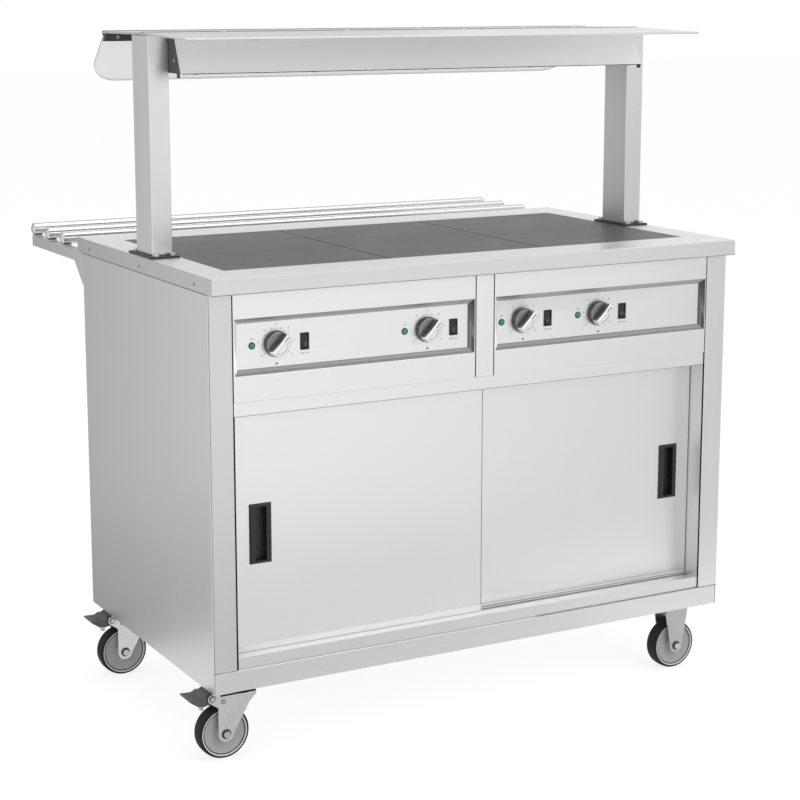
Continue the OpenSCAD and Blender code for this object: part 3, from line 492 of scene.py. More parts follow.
def even_normals(mesh, name):
    """Normals weighted by face area: wide faces stay flat and narrow fillets read as round."""
    holder = placed(name + "_raw", mesh)
    weights = holder.modifiers.new("weights", "WEIGHTED_NORMAL")
    weights.keep_sharp = True
    weights.weight = 80
    even = plain_mesh(holder)
    even.name = name
    holder.modifiers.remove(weights)
    bpy.data.objects.remove(holder)
    bpy.data.meshes.remove(mesh)
    return even


def close_mesh(bm, name, smooth=32.0, recalc=True, paint=None, even=False):
    """The bmesh as a mesh with its seams joined, its faces outward and its curved faces smooth.
    paint gives a face another material from its middle, in worktop millimetres, and its normal."""
    bmesh.ops.remove_doubles(bm, verts=bm.verts, dist=1e-6)
    if recalc:
        bmesh.ops.recalc_face_normals(bm, faces=bm.faces)
    bm.normal_update()
    for face in bm.faces:
        face.smooth = True
        if paint:
            face.material_index = paint(in_mm(face.calc_center_median()), face.normal, face.material_index)
    mesh = bpy.data.meshes.new(name)
    bm.to_mesh(mesh)
    bm.free()
    mesh.set_sharp_from_angle(angle=math.radians(smooth))
    return even_normals(mesh, name) if even else mesh


def skin(bm, rings, loop=False, material=0):
    """Faces between rings of points of equal count; the ends are capped unless the rings form a loop."""
    rows = [[bm.verts.new(p) for p in ring] for ring in rings]
    count = len(rows[0])
    pairs = list(zip(rows, rows[1:])) + ([(rows[-1], rows[0])] if loop else [])
    for a, b in pairs:
        for i in range(count):
            face = bm.faces.new((a[i], a[(i + 1) % count], b[(i + 1) % count], b[i]))
            face.material_index = material
    if not loop:
        for row in (rows[0], rows[-1]):
            bm.faces.new(row).material_index = material


def turned(bm, centre, axis, profile, steps=48, material=0):
    """A lathe-turned form. profile is (radius, height along axis) in millimetres, from pole to pole."""
    axis = Vector(axis).normalized()
    side = axis.orthogonal().normalized()
    up = axis.cross(side)
    rings = []
    for radius, height in profile:
        radius = max(radius, POLE_R)
        rings.append([centre + (axis * height + (side * math.cos(a) + up * math.sin(a)) * radius) / 1000
                      for a in (2 * math.pi * i / steps for i in range(steps))])
    skin(bm, rings, material=material)


def ring_form(bm, centre, axis, profile, steps=64, material=0):
    """A turned form with a hole: the closed profile goes all the way round its section."""
    axis = Vector(axis).normalized()
    side = axis.orthogonal().normalized()
    up = axis.cross(side)
    rings = []
    for i in range(steps):
        a = 2 * math.pi * i / steps
        out = side * math.cos(a) + up * math.sin(a)
        rings.append([centre + (axis * h + out * r) / 1000 for r, h in profile])
    skin(bm, rings, loop=True, material=material)


def rounded_block(bm, low, high, radius, steps=2, material=0):
    """A block with rounded edges, between two corners in worktop millimetres."""
    a, b = at(*low), at(*high)
    made = bmesh.ops.create_cube(bm, size=1.0)
    for v in made["verts"]:
        v.co = Vector(((a[i] + b[i]) / 2 + v.co[i] * (b[i] - a[i]) for i in range(3)))
    edges = list({e for v in made["verts"] for e in v.link_edges})
    faces = {f for v in made["verts"] for f in v.link_faces}
    for face in faces:
        face.material_index = material
    bmesh.ops.bevel(bm, geom=edges, offset=radius / 1000, segments=steps, profile=0.5,
                    affect="EDGES", clamp_overlap=True, material=material)


def folded(node, radius, finishes, body="cabinet", where=None, paint=None, fold=40.0):
    """A copy of a solid with its folded edges rounded, which stands for it. where picks edges by their
    middle, in worktop millimetres, and their length."""
    bm = bmesh.new()
    bm.from_mesh(NODE[node].data)
    bmesh.ops.remove_doubles(bm, verts=bm.verts, dist=2e-6)
    bmesh.ops.dissolve_limit(bm, angle_limit=math.radians(0.3), verts=bm.verts, edges=bm.edges)
    edges = []
    for edge in bm.edges:
        if len(edge.link_faces) != 2 or not edge.is_convex or edge.calc_face_angle(0) < math.radians(fold):
            continue
        middle = in_mm((edge.verts[0].co + edge.verts[1].co) / 2)
        if where is None or where(middle, edge.calc_length() * 1000):
            edges.append(edge)
    bmesh.ops.bevel(bm, geom=edges, offset=radius / 1000, segments=2, profile=0.5,
                    affect="EDGES", clamp_overlap=True)
    for face in bm.faces:
        face.material_index = 0
    name = node + "_finished"
    mesh = close_mesh(bm, name, recalc=False, paint=paint, even=True)
    keep_piece(name, mesh, body, finishes, [node])


def on_boxes(*boxes, near=0.25):
    """True for edges along the given boxes, so that only a piece's outer folds are rounded."""
    def on_edge(mid, low, high):
        """True where at least two of a box's faces meet."""
        faces = sum(abs(mid[i] - low[i]) < near or abs(mid[i] - high[i]) < near for i in range(3))
        return faces >= 2 and all(low[i] - near < mid[i] < high[i] + near for i in range(3))

    return lambda mid, length: any(on_edge(mid, low, high) for low, high in boxes)


# ---- Geometry Nodes tools ----

class Rig(Bench):
    """A Geometry Nodes tree with named number inputs."""

    def __init__(self, name, numbers):
        group = bpy.data.node_groups.new(name, "GeometryNodeTree")
        group.interface.new_socket("Geometry", in_out="INPUT", socket_type="NodeSocketGeometry")
        for key, value in numbers.items():
            kind = "NodeSocketInt" if isinstance(value, int) else "NodeSocketFloat"
            group.interface.new_socket(key, in_out="INPUT", socket_type=kind).default_value = value
        group.interface.new_socket("Geometry", in_out="OUTPUT", socket_type="NodeSocketGeometry")
        super().__init__(group)
        self.start = self.add("NodeGroupInput")

    def given(self, key):
        """The wire of a named input."""
        return self.start.out(key)

    def made(self, geometry, finish):
        """Ends the tree with real faces in one finish."""
        real = self.add("GeometryNodeRealizeInstances", {}, {0: geometry})
        coloured = self.add("GeometryNodeSetMaterial", {}, {"Geometry": real, "Material": FINISH[finish]})
        self.add("NodeGroupOutput", {}, {0: coloured})

    def facing(self):
        """Rotations that turn a part's +Z to each point's stored direction."""
        way = self.add("GeometryNodeInputNamedAttribute", {"data_type": "FLOAT_VECTOR"}, {"Name": "facing"})
        return self.add("FunctionNodeAlignRotationToVector", {"axis": "Z"}, {"Vector": way})

    def on_points(self, part, turn=None):
        """One copy of a part on each point that the rig is run on."""
        sockets = {"Points": self.start, "Instance": part}
        if turn is not None:
            sockets["Rotation"] = turn
        return self.add("GeometryNodeInstanceOnPoints", {}, sockets)


def grown(rig, name, points, facings, numbers, body, finish):
    """Runs a rig on points given in worktop millimetres and keeps the result as one plain mesh."""
    seed = bpy.data.meshes.new(name + "_points")
    seed.from_pydata([at(*p) for p in points], [], [])
    if facings:
        way = seed.attributes.new("facing", "FLOAT_VECTOR", "POINT")
        for i, direction in enumerate(facings):
            way.data[i].vector = direction
    carrier = placed(name + "_carrier", seed)
    modifier = carrier.modifiers.new("rig", "NODES")
    modifier.node_group = rig.tree
    for item in rig.tree.interface.items_tree:
        if item.in_out == "INPUT" and item.name in numbers:
            modifier[item.identifier] = numbers[item.name]
    mesh = plain_mesh(carrier)
    carrier.modifiers.remove(modifier)
    bpy.data.objects.remove(carrier)
    bpy.data.meshes.remove(seed)
    for attribute in list(mesh.attributes):
        if attribute.name == "facing":
            mesh.attributes.remove(attribute)
    for polygon in mesh.polygons:
        polygon.use_smooth = True
    mesh.set_sharp_from_angle(angle=math.radians(35))
    keep_piece(name, mesh, body, [finish])


def join(bench, *parts):
    """Several geometries as one."""
    return bench.add("GeometryNodeJoinGeometry", {}, {0: list(parts)})


def moved(bench, geometry, shift=(0, 0, 0), turn=(0, 0, 0), scale=(1, 1, 1)):
    """A geometry shifted, turned and scaled."""
    return bench.add("GeometryNodeTransform", {}, {
        "Geometry": geometry, "Translation": shift, "Rotation": turn, "Scale": scale})


def dome_screw_rig(finish):
    """A low dome head on a thin washer, with a cross slot."""
    rig = Rig("dome_screw_" + finish, {"Radius": 0.004, "Height": 0.002})
    radius, height = rig.given("Radius"), rig.given("Height")
    washer = rig.add("GeometryNodeMeshCylinder", {"fill_type": "NGON"}, {
        "Vertices": 20, "Radius": radius * 1.02, "Depth": height * 0.5}, out="Mesh")
    ball = rig.add("GeometryNodeMeshUVSphere", {}, {"Segments": 20, "Rings": 10, "Radius": radius}, out="Mesh")
    flat = rig.add("ShaderNodeCombineXYZ", {}, {0: 0.95, 1: 0.95, 2: height / radius})
    head = moved(rig, ball, scale=flat)
    slot_size = rig.add("ShaderNodeCombineXYZ", {}, {0: radius * 1.1, 1: radius * 0.22, 2: height * 0.6})
    bar = rig.add("GeometryNodeMeshCube", {}, {"Size": slot_size}, out="Mesh")
    cross = join(rig, bar, moved(rig, bar, turn=(0, 0, math.pi / 2), scale=(1, 1, 1.1)))
    up = rig.add("ShaderNodeCombineXYZ", {}, {2: height * 0.86})
    cut = rig.add("GeometryNodeMeshBoolean", {"operation": "DIFFERENCE", "solver": "EXACT"},
                  {"Mesh 1": head, "Mesh 2": moved(rig, cross, shift=up)}, out="Mesh")
    rig.made(rig.on_points(join(rig, cut, washer), rig.facing()), finish)
    return rig


def hex_bolt_rig(finish):
    """A hexagon head with a round chamfer on top and a plain washer under it."""
    rig = Rig("hex_bolt_" + finish, {"Radius": 0.006, "Height": 0.005})
    radius, height = rig.given("Radius"), rig.given("Height")
    head = rig.add("GeometryNodeMeshCylinder", {"fill_type": "NGON"}, {
        "Vertices": 6, "Radius": radius, "Depth": height}, out="Mesh")
    chamfer = rig.add("GeometryNodeMeshCone", {"fill_type": "NGON"}, {
        "Vertices": 32, "Radius Top": radius * 0.82, "Radius Bottom": radius * 1.12,
        "Depth": height}, out="Mesh")
    lift = rig.add("ShaderNodeCombineXYZ", {}, {2: height * 0.5})
    trimmed = rig.add("GeometryNodeMeshBoolean", {"operation": "INTERSECT", "solver": "EXACT"},
                      {"Mesh 2": [moved(rig, head, shift=lift), chamfer]}, out="Mesh")
    washer = rig.add("GeometryNodeMeshCylinder", {"fill_type": "NGON"}, {
        "Vertices": 32, "Radius": radius * 1.18, "Depth": height * 0.24}, out="Mesh")
    rig.made(rig.on_points(join(rig, trimmed, washer), rig.facing()), finish)
    return rig


def tick_rig():
    """Printed ticks round a dial, every fifth one longer."""
    rig = Rig("dial_ticks", {"Count": 31, "First": 0.0, "Step": 0.1, "Inner": 0.03, "Long": 0.003,
                             "Width": 0.0005})
    index = rig.add("GeometryNodeInputIndex")
    spots = rig.add("GeometryNodePoints", {}, {"Count": rig.given("Count")})
    angle = rig.given("First") + index * rig.given("Step")
    fifth = index.math("MODULO", index, 5.0) < 0.5
    length = rig.given("Long") * (0.55 + fifth * 0.45)
    reach = rig.given("Inner") + length * 0.5
    place = rig.add("ShaderNodeCombineXYZ", {}, {
        0: reach * angle.math("COSINE", angle), 2: reach * angle.math("SINE", angle)})
    spots = rig.add("GeometryNodeSetPosition", {}, {"Geometry": spots, "Position": place})
    mark = rig.add("GeometryNodeMeshCube", {}, {"Size": (1.0, 0.00016, 1.0)}, out="Mesh")
    turn = rig.add("ShaderNodeCombineXYZ", {}, {1: 0.0 - angle})
    wide = rig.given("Width") * (0.8 + fifth * 0.5)
    size = rig.add("ShaderNodeCombineXYZ", {}, {0: length, 1: 1.0, 2: wide})
    ring = rig.add("GeometryNodeInstanceOnPoints", {}, {
        "Points": spots, "Instance": mark, "Rotation": turn, "Scale": size})
    rig.made(rig.on_points(ring), "ink")
    return rig


def ball_race_rig():
    """Balls round a swivel race."""
    rig = Rig("race_balls", {"Count": 22, "Ring": 0.022, "Ball": 0.0024})
    ring = rig.add("GeometryNodeMeshCircle", {"fill_type": "NONE"}, {
        "Vertices": rig.given("Count"), "Radius": rig.given("Ring")})
    ball = rig.add("GeometryNodeMeshIcoSphere", {}, {
        "Radius": rig.given("Ball"), "Subdivisions": 2}, out="Mesh")
    balls = rig.add("GeometryNodeInstanceOnPoints", {}, {"Points": ring, "Instance": ball})
    rig.made(rig.on_points(balls), "bolt")
    return rig


def lamp_coil_rig():
    """A wound filament along X inside a quartz tube."""
    rig = Rig("lamp_coil", {"Turns": 34.0, "Length": 0.16, "Radius": 0.0028, "Wire": 0.0006})
    path = rig.add("GeometryNodeCurveSpiral", {}, {
        "Resolution": 10, "Rotations": rig.given("Turns"), "Start Radius": rig.given("Radius"),
        "End Radius": rig.given("Radius"), "Height": rig.given("Length")})
    section = rig.add("GeometryNodeCurvePrimitiveCircle", {"mode": "RADIUS"}, {
        "Resolution": 5, "Radius": rig.given("Wire")})
    coil = rig.add("GeometryNodeCurveToMesh", {}, {
        "Curve": path, "Profile Curve": section, "Fill Caps": True})
    half = rig.add("ShaderNodeCombineXYZ", {}, {0: rig.given("Length") * -0.5})
    laid = moved(rig, moved(rig, coil, turn=(0, math.pi / 2, 0)), shift=half)
    rig.made(rig.on_points(laid), "coil")
    return rig


def tread_rig():
    """Grip ribs across a brake pedal, one row along X."""
    rig = Rig("pedal_ribs", {"Count": 5, "Pitch": 0.004, "Width": 0.04, "Rib": 0.0016})
    line = rig.add("GeometryNodeMeshLine", {"mode": "OFFSET"}, {
        "Count": rig.given("Count"), "Start Location": (0, 0, 0),
        "Offset": rig.add("ShaderNodeCombineXYZ", {}, {0: rig.given("Pitch")})})
    rib = rig.add("GeometryNodeMeshCylinder", {"fill_type": "NGON"}, {
        "Vertices": 12, "Radius": rig.given("Rib"), "Depth": rig.given("Width")}, out="Mesh")
    laid = moved(rig, rib, turn=(math.pi / 2, 0, 0))
    ribs = rig.add("GeometryNodeInstanceOnPoints", {}, {"Points": line, "Instance": laid})
    rig.made(rig.on_points(ribs), "pedal")
    return rig


# ---- Controls ----

def make_knob(i):
    """Satin control knob: turned skirt with a dark foot ring painted as the shadow where it meets the panel, and a
    waisted bar grip at 45 degrees.
    """
    x = KNOBS[i]
    bm = bmesh.new()
    foot = at(x, PANEL_FACE, PANEL_MID)
    # The foot ring, in the darkest finish: painted shadow where the skirt meets the panel.
    turned(bm, foot, (0, -1, 0), [
        (0, 1.0), (22.6, 1.0), (23.6, 1.4), (24.0, 2.2), (24.0, 5.4), (23.5, 6.2), (0, 6.2)], material=1)
    turned(bm, foot, (0, -1, 0), [
        (0, 4.0), (22.9, 4.0), (23.5, 6.6), (23.4, 8.2), (22.8, 9.3), (21.8, 9.9), (21.0, 10.0),
        (18.4, 10.0), (17.9, 9.6), (17.3, 10.0), (9.0, 10.0), (0, 10.0)])
    turned(bm, foot, (0, -1, 0), [(0, -2.0), (3.0, -2.0), (3.0, 9.0), (0, 9.0)], steps=24)
    lean = math.radians(45)
    run = Vector((math.cos(lean), 0, math.sin(lean)))
    cross = Vector((-math.sin(lean), 0, math.cos(lean)))
    reach = 22.0
    stations = 18
    rings = []
    for k in range(stations + 1):
        t = -1 + 2 * k / stations
        u = reach * math.copysign(1 - (1 - abs(t)) ** 1.6, t)
        end = min(1.0, (reach + 0.05 - abs(u)) / 2.6)
        round_end = math.sqrt(max(1 - (1 - end) ** 2, 0.02))
        half = (6.9 + 1.1 * (u / reach) ** 2) * (0.72 + 0.28 * round_end)
        tall = 13.6 * (0.84 + 0.16 * round_end) - 0.7 * (u / reach) ** 2
        section = []
        for w, h in ((-1.0, 0.0), (-1.0, 0.42), (-0.94, 0.78), (-0.84, 0.93), (-0.64, 1.0), (0.0, 1.015),
                     (0.64, 1.0), (0.84, 0.93), (0.94, 0.78), (1.0, 0.42), (1.0, 0.0)):
            section.append(foot + (run * u + cross * (w * half) + Vector((0, -1, 0)) * (9.6 + h * tall)) / 1000)
        rings.append(section)
    skin(bm, rings)
    tip = foot + (run * 13.5 + Vector((0, -1, 0)) * 23.0) / 1000
    line_long, line_thick = 0.012, 0.0011
    line = bmesh.ops.create_cube(bm, size=1.0)
    for v in line["verts"]:
        c = v.co.copy()
        v.co = (tip + run * (c.x * line_long) + cross * (c.z * line_thick)
                + Vector((0, 1, 0)) * (c.y * line_thick))
        for face in v.link_faces:
            face.material_index = 1

    def paint(mid, normal, was):
        """Satin on the skirt and the grip's lit side; painted shade elsewhere: a dark satin on the grip's
        upper-left wall and the skirt's upper-left half, and near-black on the skirt's outer wall except to the
        lower right.
        """
        depth = PANEL_FACE - mid.y
        off = (mid.x - x) * cross.x + (mid.z - PANEL_MID) * cross.z
        if was or depth < 6.0:
            return was
        if depth > 10.6:
            return 2 if normal.dot(cross) > 0.5 else 0
        if math.hypot(normal.x, normal.z) > 0.6:
            return 1 if normal.dot(cross) > -0.3 else 0
        return 2 if off > 2.0 else 0

    name = f"knob_{i + 1}_satin"
    keep_piece(name, close_mesh(bm, name, paint=paint), f"knob_{i + 1}",
               ["knob", "knob_ring", "knob_side"], [f"knob_{i + 1}"])


def make_pilot_lamps():
    """A dark bezel with a turned lip and a domed green lens for each lamp."""
    bm = bmesh.new()
    for x in KNOBS:
        centre = at(x - LAMP_OFF, PANEL_FACE, PANEL_MID)
        ring_form(bm, centre, (0, -1, 0), [
            (4.7, 0.0), (6.45, 0.0), (6.45, 0.7), (6.1, 1.2), (5.6, 1.35), (5.1, 1.1), (4.7, 0.6)], material=1)
        turned(bm, centre, (0, -1, 0), [
            (0, 0.2), (5.0, 0.2), (5.0, 1.0), (4.7, 1.9), (3.9, 2.6), (2.6, 3.0), (1.2, 3.15), (0, 3.2)],
            steps=32)
        turned(bm, centre, (0, 1, 0), [(0, 0.0), (4.4, 0.0), (4.4, 22.0), (0, 22.0)], steps=24, material=1)
    keep_piece("pilot_lamp_set", close_mesh(bm, "pilot_lamp_set"), "cabinet",
               ["lens", "black"], ["pilot_lamps"])


def make_switch_frames():
    """The rounded bezels round the rockers, and the switch bodies behind the panel."""
    bm = bmesh.new()
    for x in (k + SWITCH_OFF for k in KNOBS):
        rows = []
        for w, h, depth in ((6.25, 13.25, 0.0), (6.25, 13.25, -1.7), (6.7, 13.7, -2.0), (8.1, 15.1, -2.0),
                            (8.5, 15.5, -1.6), (8.5, 15.5, 0.0), (7.0, 14.0, 0.0), (7.0, 14.0, 20.0),
                            (6.25, 13.25, 20.0)):
            r = 1.2  # corner radius
            row = []
            for sx, sz, start in ((1, 1, 0), (-1, 1, 90), (-1, -1, 180), (1, -1, 270)):
                for step in range(4):
                    a = math.radians(start + step * 30)
                    row.append(at(x + sx * (w - r) + r * math.cos(a), PANEL_FACE + depth,
                                  PANEL_MID + sz * (h - r) + r * math.sin(a)))
            rows.append(row)
        skin(bm, rows, loop=True)
        rounded_block(bm, (x - 6.4, PANEL_FACE + 18.0, PANEL_MID - 13.4),
                      (x + 6.4, PANEL_FACE + 19.8, PANEL_MID + 13.4), 0.3)
    keep_piece("switch_frame_set", close_mesh(bm, "switch_frame_set"), "cabinet",
               ["black"], ["switch_housings"])


def make_rocker(i):
    """A glossy rocker with a dished face, at rest with its top pressed in."""
    x = KNOBS[i] + SWITCH_OFF
    pivot = at(x, PANEL_FACE + 2.0, PANEL_MID)
    tilt = Matrix.Rotation(math.radians(-9.0), 3, "X")
    bm = bmesh.new()
    rows = []
    half = 5.9
    face = [(-11.9, -4.3), (-9.0, -4.25), (-5.0, -3.75), (0.0, -3.4), (5.0, -3.75), (9.0, -4.25), (11.9, -4.3),
            (12.3, -3.9), (12.2, 0.0), (9.5, 6.2), (-9.5, 6.2), (-12.2, 0.0), (-12.3, -3.9)]
    for u, inset in ((-half, 0.5), (-half + 0.45, 0.0), (half - 0.45, 0.0), (half, 0.5)):
        row = []
        for z, y in face:
            shrink = 1 - inset / 13.0
            p = Vector((u, (y + (inset * 0.6 if y < -3 else 0)), z * shrink))
            row.append(pivot + (tilt @ p) / 1000)
        rows.append(row)
    skin(bm, rows)
    turned(bm, pivot + Vector((-0.0066, 0, 0)), (1, 0, 0), [(0, 0), (1.2, 0), (1.2, 13.2), (0, 13.2)], steps=16)
    node = f"rocker_{i + 1}"
    keep_piece(node + "_gloss", close_mesh(bm, node + "_gloss"), node, ["gloss"], [node])


def print_words(bm, words, size, place):
    """Small printed characters on the fascia, centred on a place."""
    text = bpy.data.curves.new("print", "FONT")
    text.body = words
    text.size = size
    text.align_x = "CENTER"
    text.align_y = "CENTER"
    text.resolution_u = 2
    text.extrude = INK_THICK / 1000
    holder = placed("print", text)
    flat = plain_mesh(holder)
    flat.transform(Matrix.Translation(place) @ Matrix.Rotation(math.pi / 2, 4, "X"))
    bm.from_mesh(flat)
    bpy.data.objects.remove(holder)
    bpy.data.curves.remove(text)
    bpy.data.meshes.remove(flat)


def make_dials():
    """Printed scales round the knobs, their numbers, and the marks at the switches and lamps."""
    ink = PANEL_FACE - INK_FACE_OFF
    ticks = 36
    grown(tick_rig(), "dial_ticks", [(x, ink, PANEL_MID) for x in KNOBS], None, {
        "Count": ticks, "First": math.radians(90.0 - DIAL_SWEEP / 2),
        "Step": math.radians(DIAL_SWEEP / (ticks - 1)), "Inner": 0.0266, "Long": 0.0040,
        "Width": 0.00060}, "cabinet", "ink")
    bm = bmesh.new()
    for x in KNOBS:
        for n in range(7):
            angle = math.radians(90.0 + DIAL_SWEEP / 2 - n * DIAL_SWEEP / 6)
            print_words(bm, str(n), 0.0056,
                        at(x + NUMBER_R * math.cos(angle), ink, PANEL_MID + NUMBER_R * math.sin(angle)))
        rounded_block(bm, (x - 1.9, ink - INK_THICK, PANEL_MID - 37.6),
                      (x + 1.9, ink + INK_THICK, PANEL_MID - 34.2), 0.04, 1)
        print_words(bm, "OFF / ON", 0.0042, at(x + SWITCH_OFF, ink, PANEL_MID - 22.0))
        print_words(bm, "ON", 0.0040, at(x - LAMP_OFF, ink, PANEL_MID + 12.0))
    keep_piece("dial_numbers", close_mesh(bm, "dial_numbers", recalc=False), "cabinet", ["ink"])


# ---- Cabinet ----

def make_cabinet_sheets():
    """The cabinet's folded sheets, with rounded folds and the finish of each face; some faces take darker copies
    of the steel as painted shade and others lighter copies as painted light.
    """
    # The left side panel takes the darker copy of the steel as painted shade, the right one the lighter copy as
    # painted light.
    for node, finish, near, far, inner, toward in (
            ("side_panel_left", "side", OUT_LEFT, IN_LEFT, IN_LEFT, 1),
            ("side_panel_right", "side_right_lit", IN_RIGHT, OUT_RIGHT, IN_RIGHT, -1)):
        # Each panel's inner return takes the lighter return steel: painted light.
        folded(node, 1.3, [finish, "return"],
               where=on_boxes([(near, FRONT, BASE_Z), (far, REAR, UNDER_TOP)]),
               paint=lambda mid, normal, was: int(normal.x * toward > 0.9 and abs(mid.x - inner) < 0.8))
    for node in ("control_panel_left", "control_panel_right"):
        outside = on_boxes(corners(node))
        folded(node, 1.2, ["band", "bevel", "bevel_low_shaded", "bevel_end_shaded"],
               where=lambda mid, length: length > 12 and (
                   outside(mid, length) or (mid.y < FRONT + 0.6 and length > 60)),
               paint=paint_recess)
    for node, radius, finish in (
            ("back_panel", 1.2, "side"), ("base_frame", 1.6, "rail"), ("mullion", 1.2, "door"),
            ("door_header", 0.9, "band"), ("door_track", 0.9, "rail"),
            ("inner_shelf", 0.9, "inside"), ("cupboard_ceiling", 0.8, "inside")):
        folded(node, radius, [finish], where=on_boxes(corners(node)))
    folded("worktop", 1.5, ["top", "edge", "seam"],
           where=on_boxes(corners("worktop")), paint=paint_worktop)
    folded("hot_plates", 0.7, ["plate"])
    folded("tray_brackets", 0.7, ["arm"])


def paint_worktop(mid, normal, was):
    """The worktop's satin top, its end faces in a darker copy of the steel as painted shade, and a grey painted
    shadow line on the fold under its front rim.
    """
    if mid.z < UNDER_TOP + 1.3 and mid.y < 1.3 and -0.9 < normal.z < -0.1:
        return 2
    return int(abs(normal.x) > 0.9)


def paint_recess(mid, normal, was):
    """The sloping sides of a control panel's recess, in darker copies of the steel as painted shade for the darker
    surroundings they reflect: grey above and below, dark at its ends.
    """
    in_recess = abs(mid.z - PANEL_MID) < 52.5 and FRONT - 0.5 < mid.y < PANEL_FACE + 0.6
    if not in_recess or normal.y >= -0.4:
        return 0
    if abs(normal.z) > 0.5:
        return 1 if normal.z < 0 else 2
    return 3 if normal.x < -0.5 else 0


def make_doors():
    """Folded door skins, their white bottom glides, the flush pulls, and a grey painted shadow line along the left
    door's meeting edge.
    """
    for side, glide_top in (("left", DOOR_FOOT + 10.0), ("right", DOOR_FOOT + 1.0)):
        body = side + "_door"
        (x0, y0, _), (x1, y1, _) = corners("door_" + side)
        folded("door_" + side, 1.8, ["door"], body,
               where=on_boxes([(x0, y0, DOOR_FOOT), (x1, y1, DOOR_HEAD)]))
        folded("door_pull_" + side, 0.9, ["black"], body)
        bm = bmesh.new()
        rounded_block(bm, (x0 + 0.6, y0 - 0.5, 204.7), (x1 - 0.6, y0 + 4.0, glide_top), 0.4)
        # On the left door, a grey painted shadow line along its meeting edge.
        if side == "left":
            rounded_block(bm, (x1 - 0.7, y0 - 0.2, glide_top + 0.5),
                          (x1 - 0.15, y0 + 0.6, DOOR_HEAD - 2.0), 0.15, material=1)
        keep_piece("door_glide_" + side, close_mesh(bm, "door_glide_" + side), body,
                   ["glide", "seam"])


def make_seals():
    """Thin strips on and between the sheets: dark and grey painted shadow lines beside the doors, under overhangs
    and along folds, dark and grey joints between parts, and a white strip on the door track.
    """
    bm = bmesh.new()
    rim = UNDER_TOP - 0.5
    # Dark: painted shadow lines beside the stiles and the mullion, under the worktop's front rim and under the
    # hood's foot; dark joints at the plinth and between the hot plates.
    dark = [
        ((IN_LEFT, FRONT + 0.8, FLOOR_Z + 0.5), (IN_LEFT + 3.4, FRONT + 5.0, TRACK_Z)),
        ((IN_LEFT, FRONT + 1.4, TRACK_Z), (IN_LEFT + 3.4, FRONT + 7.0, HEADER_Z)),
        ((IN_LEFT, FRONT + 1.2, HEADER_Z), (IN_LEFT + 1.9, FRONT + 7.0, rim)),
        ((IN_RIGHT - 0.8, FRONT + 1.0, FLOOR_Z + 0.5), (IN_RIGHT, FRONT + 5.0, PANEL_Z)),
        ((IN_RIGHT - 1.9, FRONT + 1.6, PANEL_Z), (IN_RIGHT, FRONT + 7.0, rim)),
        ((MULLION_LEFT - 2.0, FRONT + 1.0, PANEL_Z + 0.2), (MULLION_LEFT, FRONT + 7.0, rim)),
        ((IN_LEFT, FRONT - 0.3, UNDER_TOP - 1.4), (IN_RIGHT, FRONT + 0.4, UNDER_TOP)),
        ((OUT_LEFT, FRONT - 0.2, FLOOR_Z - 0.5), (IN_LEFT, FRONT + 0.5, FLOOR_Z + 0.6)),
        ((IN_RIGHT, FRONT - 0.2, FLOOR_Z - 0.5), (OUT_RIGHT, FRONT + 0.5, FLOOR_Z + 0.6)),
        *[((x - 1.2, PLATES_LOW[1] + 0.5, PLATES_LOW[2] + 0.5),
           (x + 1.2, PLATES_HIGH[1] - 0.5, PLATE_TOP + 0.15)) for x in PLATE_JOINTS],
        ((HOOD_LEFT + 1.0, 251.0, HOOD_FOOT - 1.1), (HOOD_RIGHT - 1.0, 253.4, HOOD_FOOT + 0.3)),
    ]
    # Grey: painted shadow lines under the worktop's side rims, under the door header, beside the mullion and along
    # the door track; painted shade in the shelf's ridge fold; a grey line along the shelf's rear edge; and grey
    # joints at the plinth and the left front corner.
    grey = [
        ((OUT_LEFT - 0.4, FRONT + 0.5, UNDER_TOP - 1.6), (OUT_LEFT + 0.4, REAR - 0.5, UNDER_TOP)),
        ((OUT_RIGHT - 0.4, FRONT + 0.5, UNDER_TOP - 1.6), (OUT_RIGHT + 0.4, REAR - 0.5, UNDER_TOP)),
        ((576.5, 50.4, 203.6), (IN_RIGHT - 1.0, 52.6, 204.12)),
        ((690.0, FRONT - 0.2, FLOOR_Z - 0.3), (IN_RIGHT, FRONT + 0.4, FLOOR_Z + 0.5)),
        ((MULLION_RIGHT + 0.7, FRONT + 2.6, PANEL_Z + 0.2), (MULLION_RIGHT + 1.3, FRONT + 7.0, rim)),
        ((IN_LEFT, FRONT + 3.5, HEADER_Z - 0.6), (IN_RIGHT, FRONT + 5.0, HEADER_Z)),
        ((3.2, FRONT - 0.18, BASE_Z + 1.0), (4.4, FRONT + 0.3, UNDER_TOP - 1.0)),
        ((SHELF_LEFT + 1.0, 335.0, 1311.4), (SHELF_RIGHT - 1.0, 337.4, 1313.1)),
        ((SHELF_LEFT + 1.0, 533.6, 1310.4), (SHELF_RIGHT - 1.0, 535.8, 1312.2)),
    ]
    white = [((IN_LEFT + 0.6, FRONT + 3.8, 203.8), (575.0, 49.2, 204.4))]
    for finish, beads in ((0, dark), (1, grey), (2, white)):
        for low, high in beads:
            rounded_block(bm, low, high, 0.25, material=finish)
    keep_piece("seal_beads", close_mesh(bm, "seal_beads"), "cabinet",
               ["seal", "seam", "glide"])


# ---- Castors ----

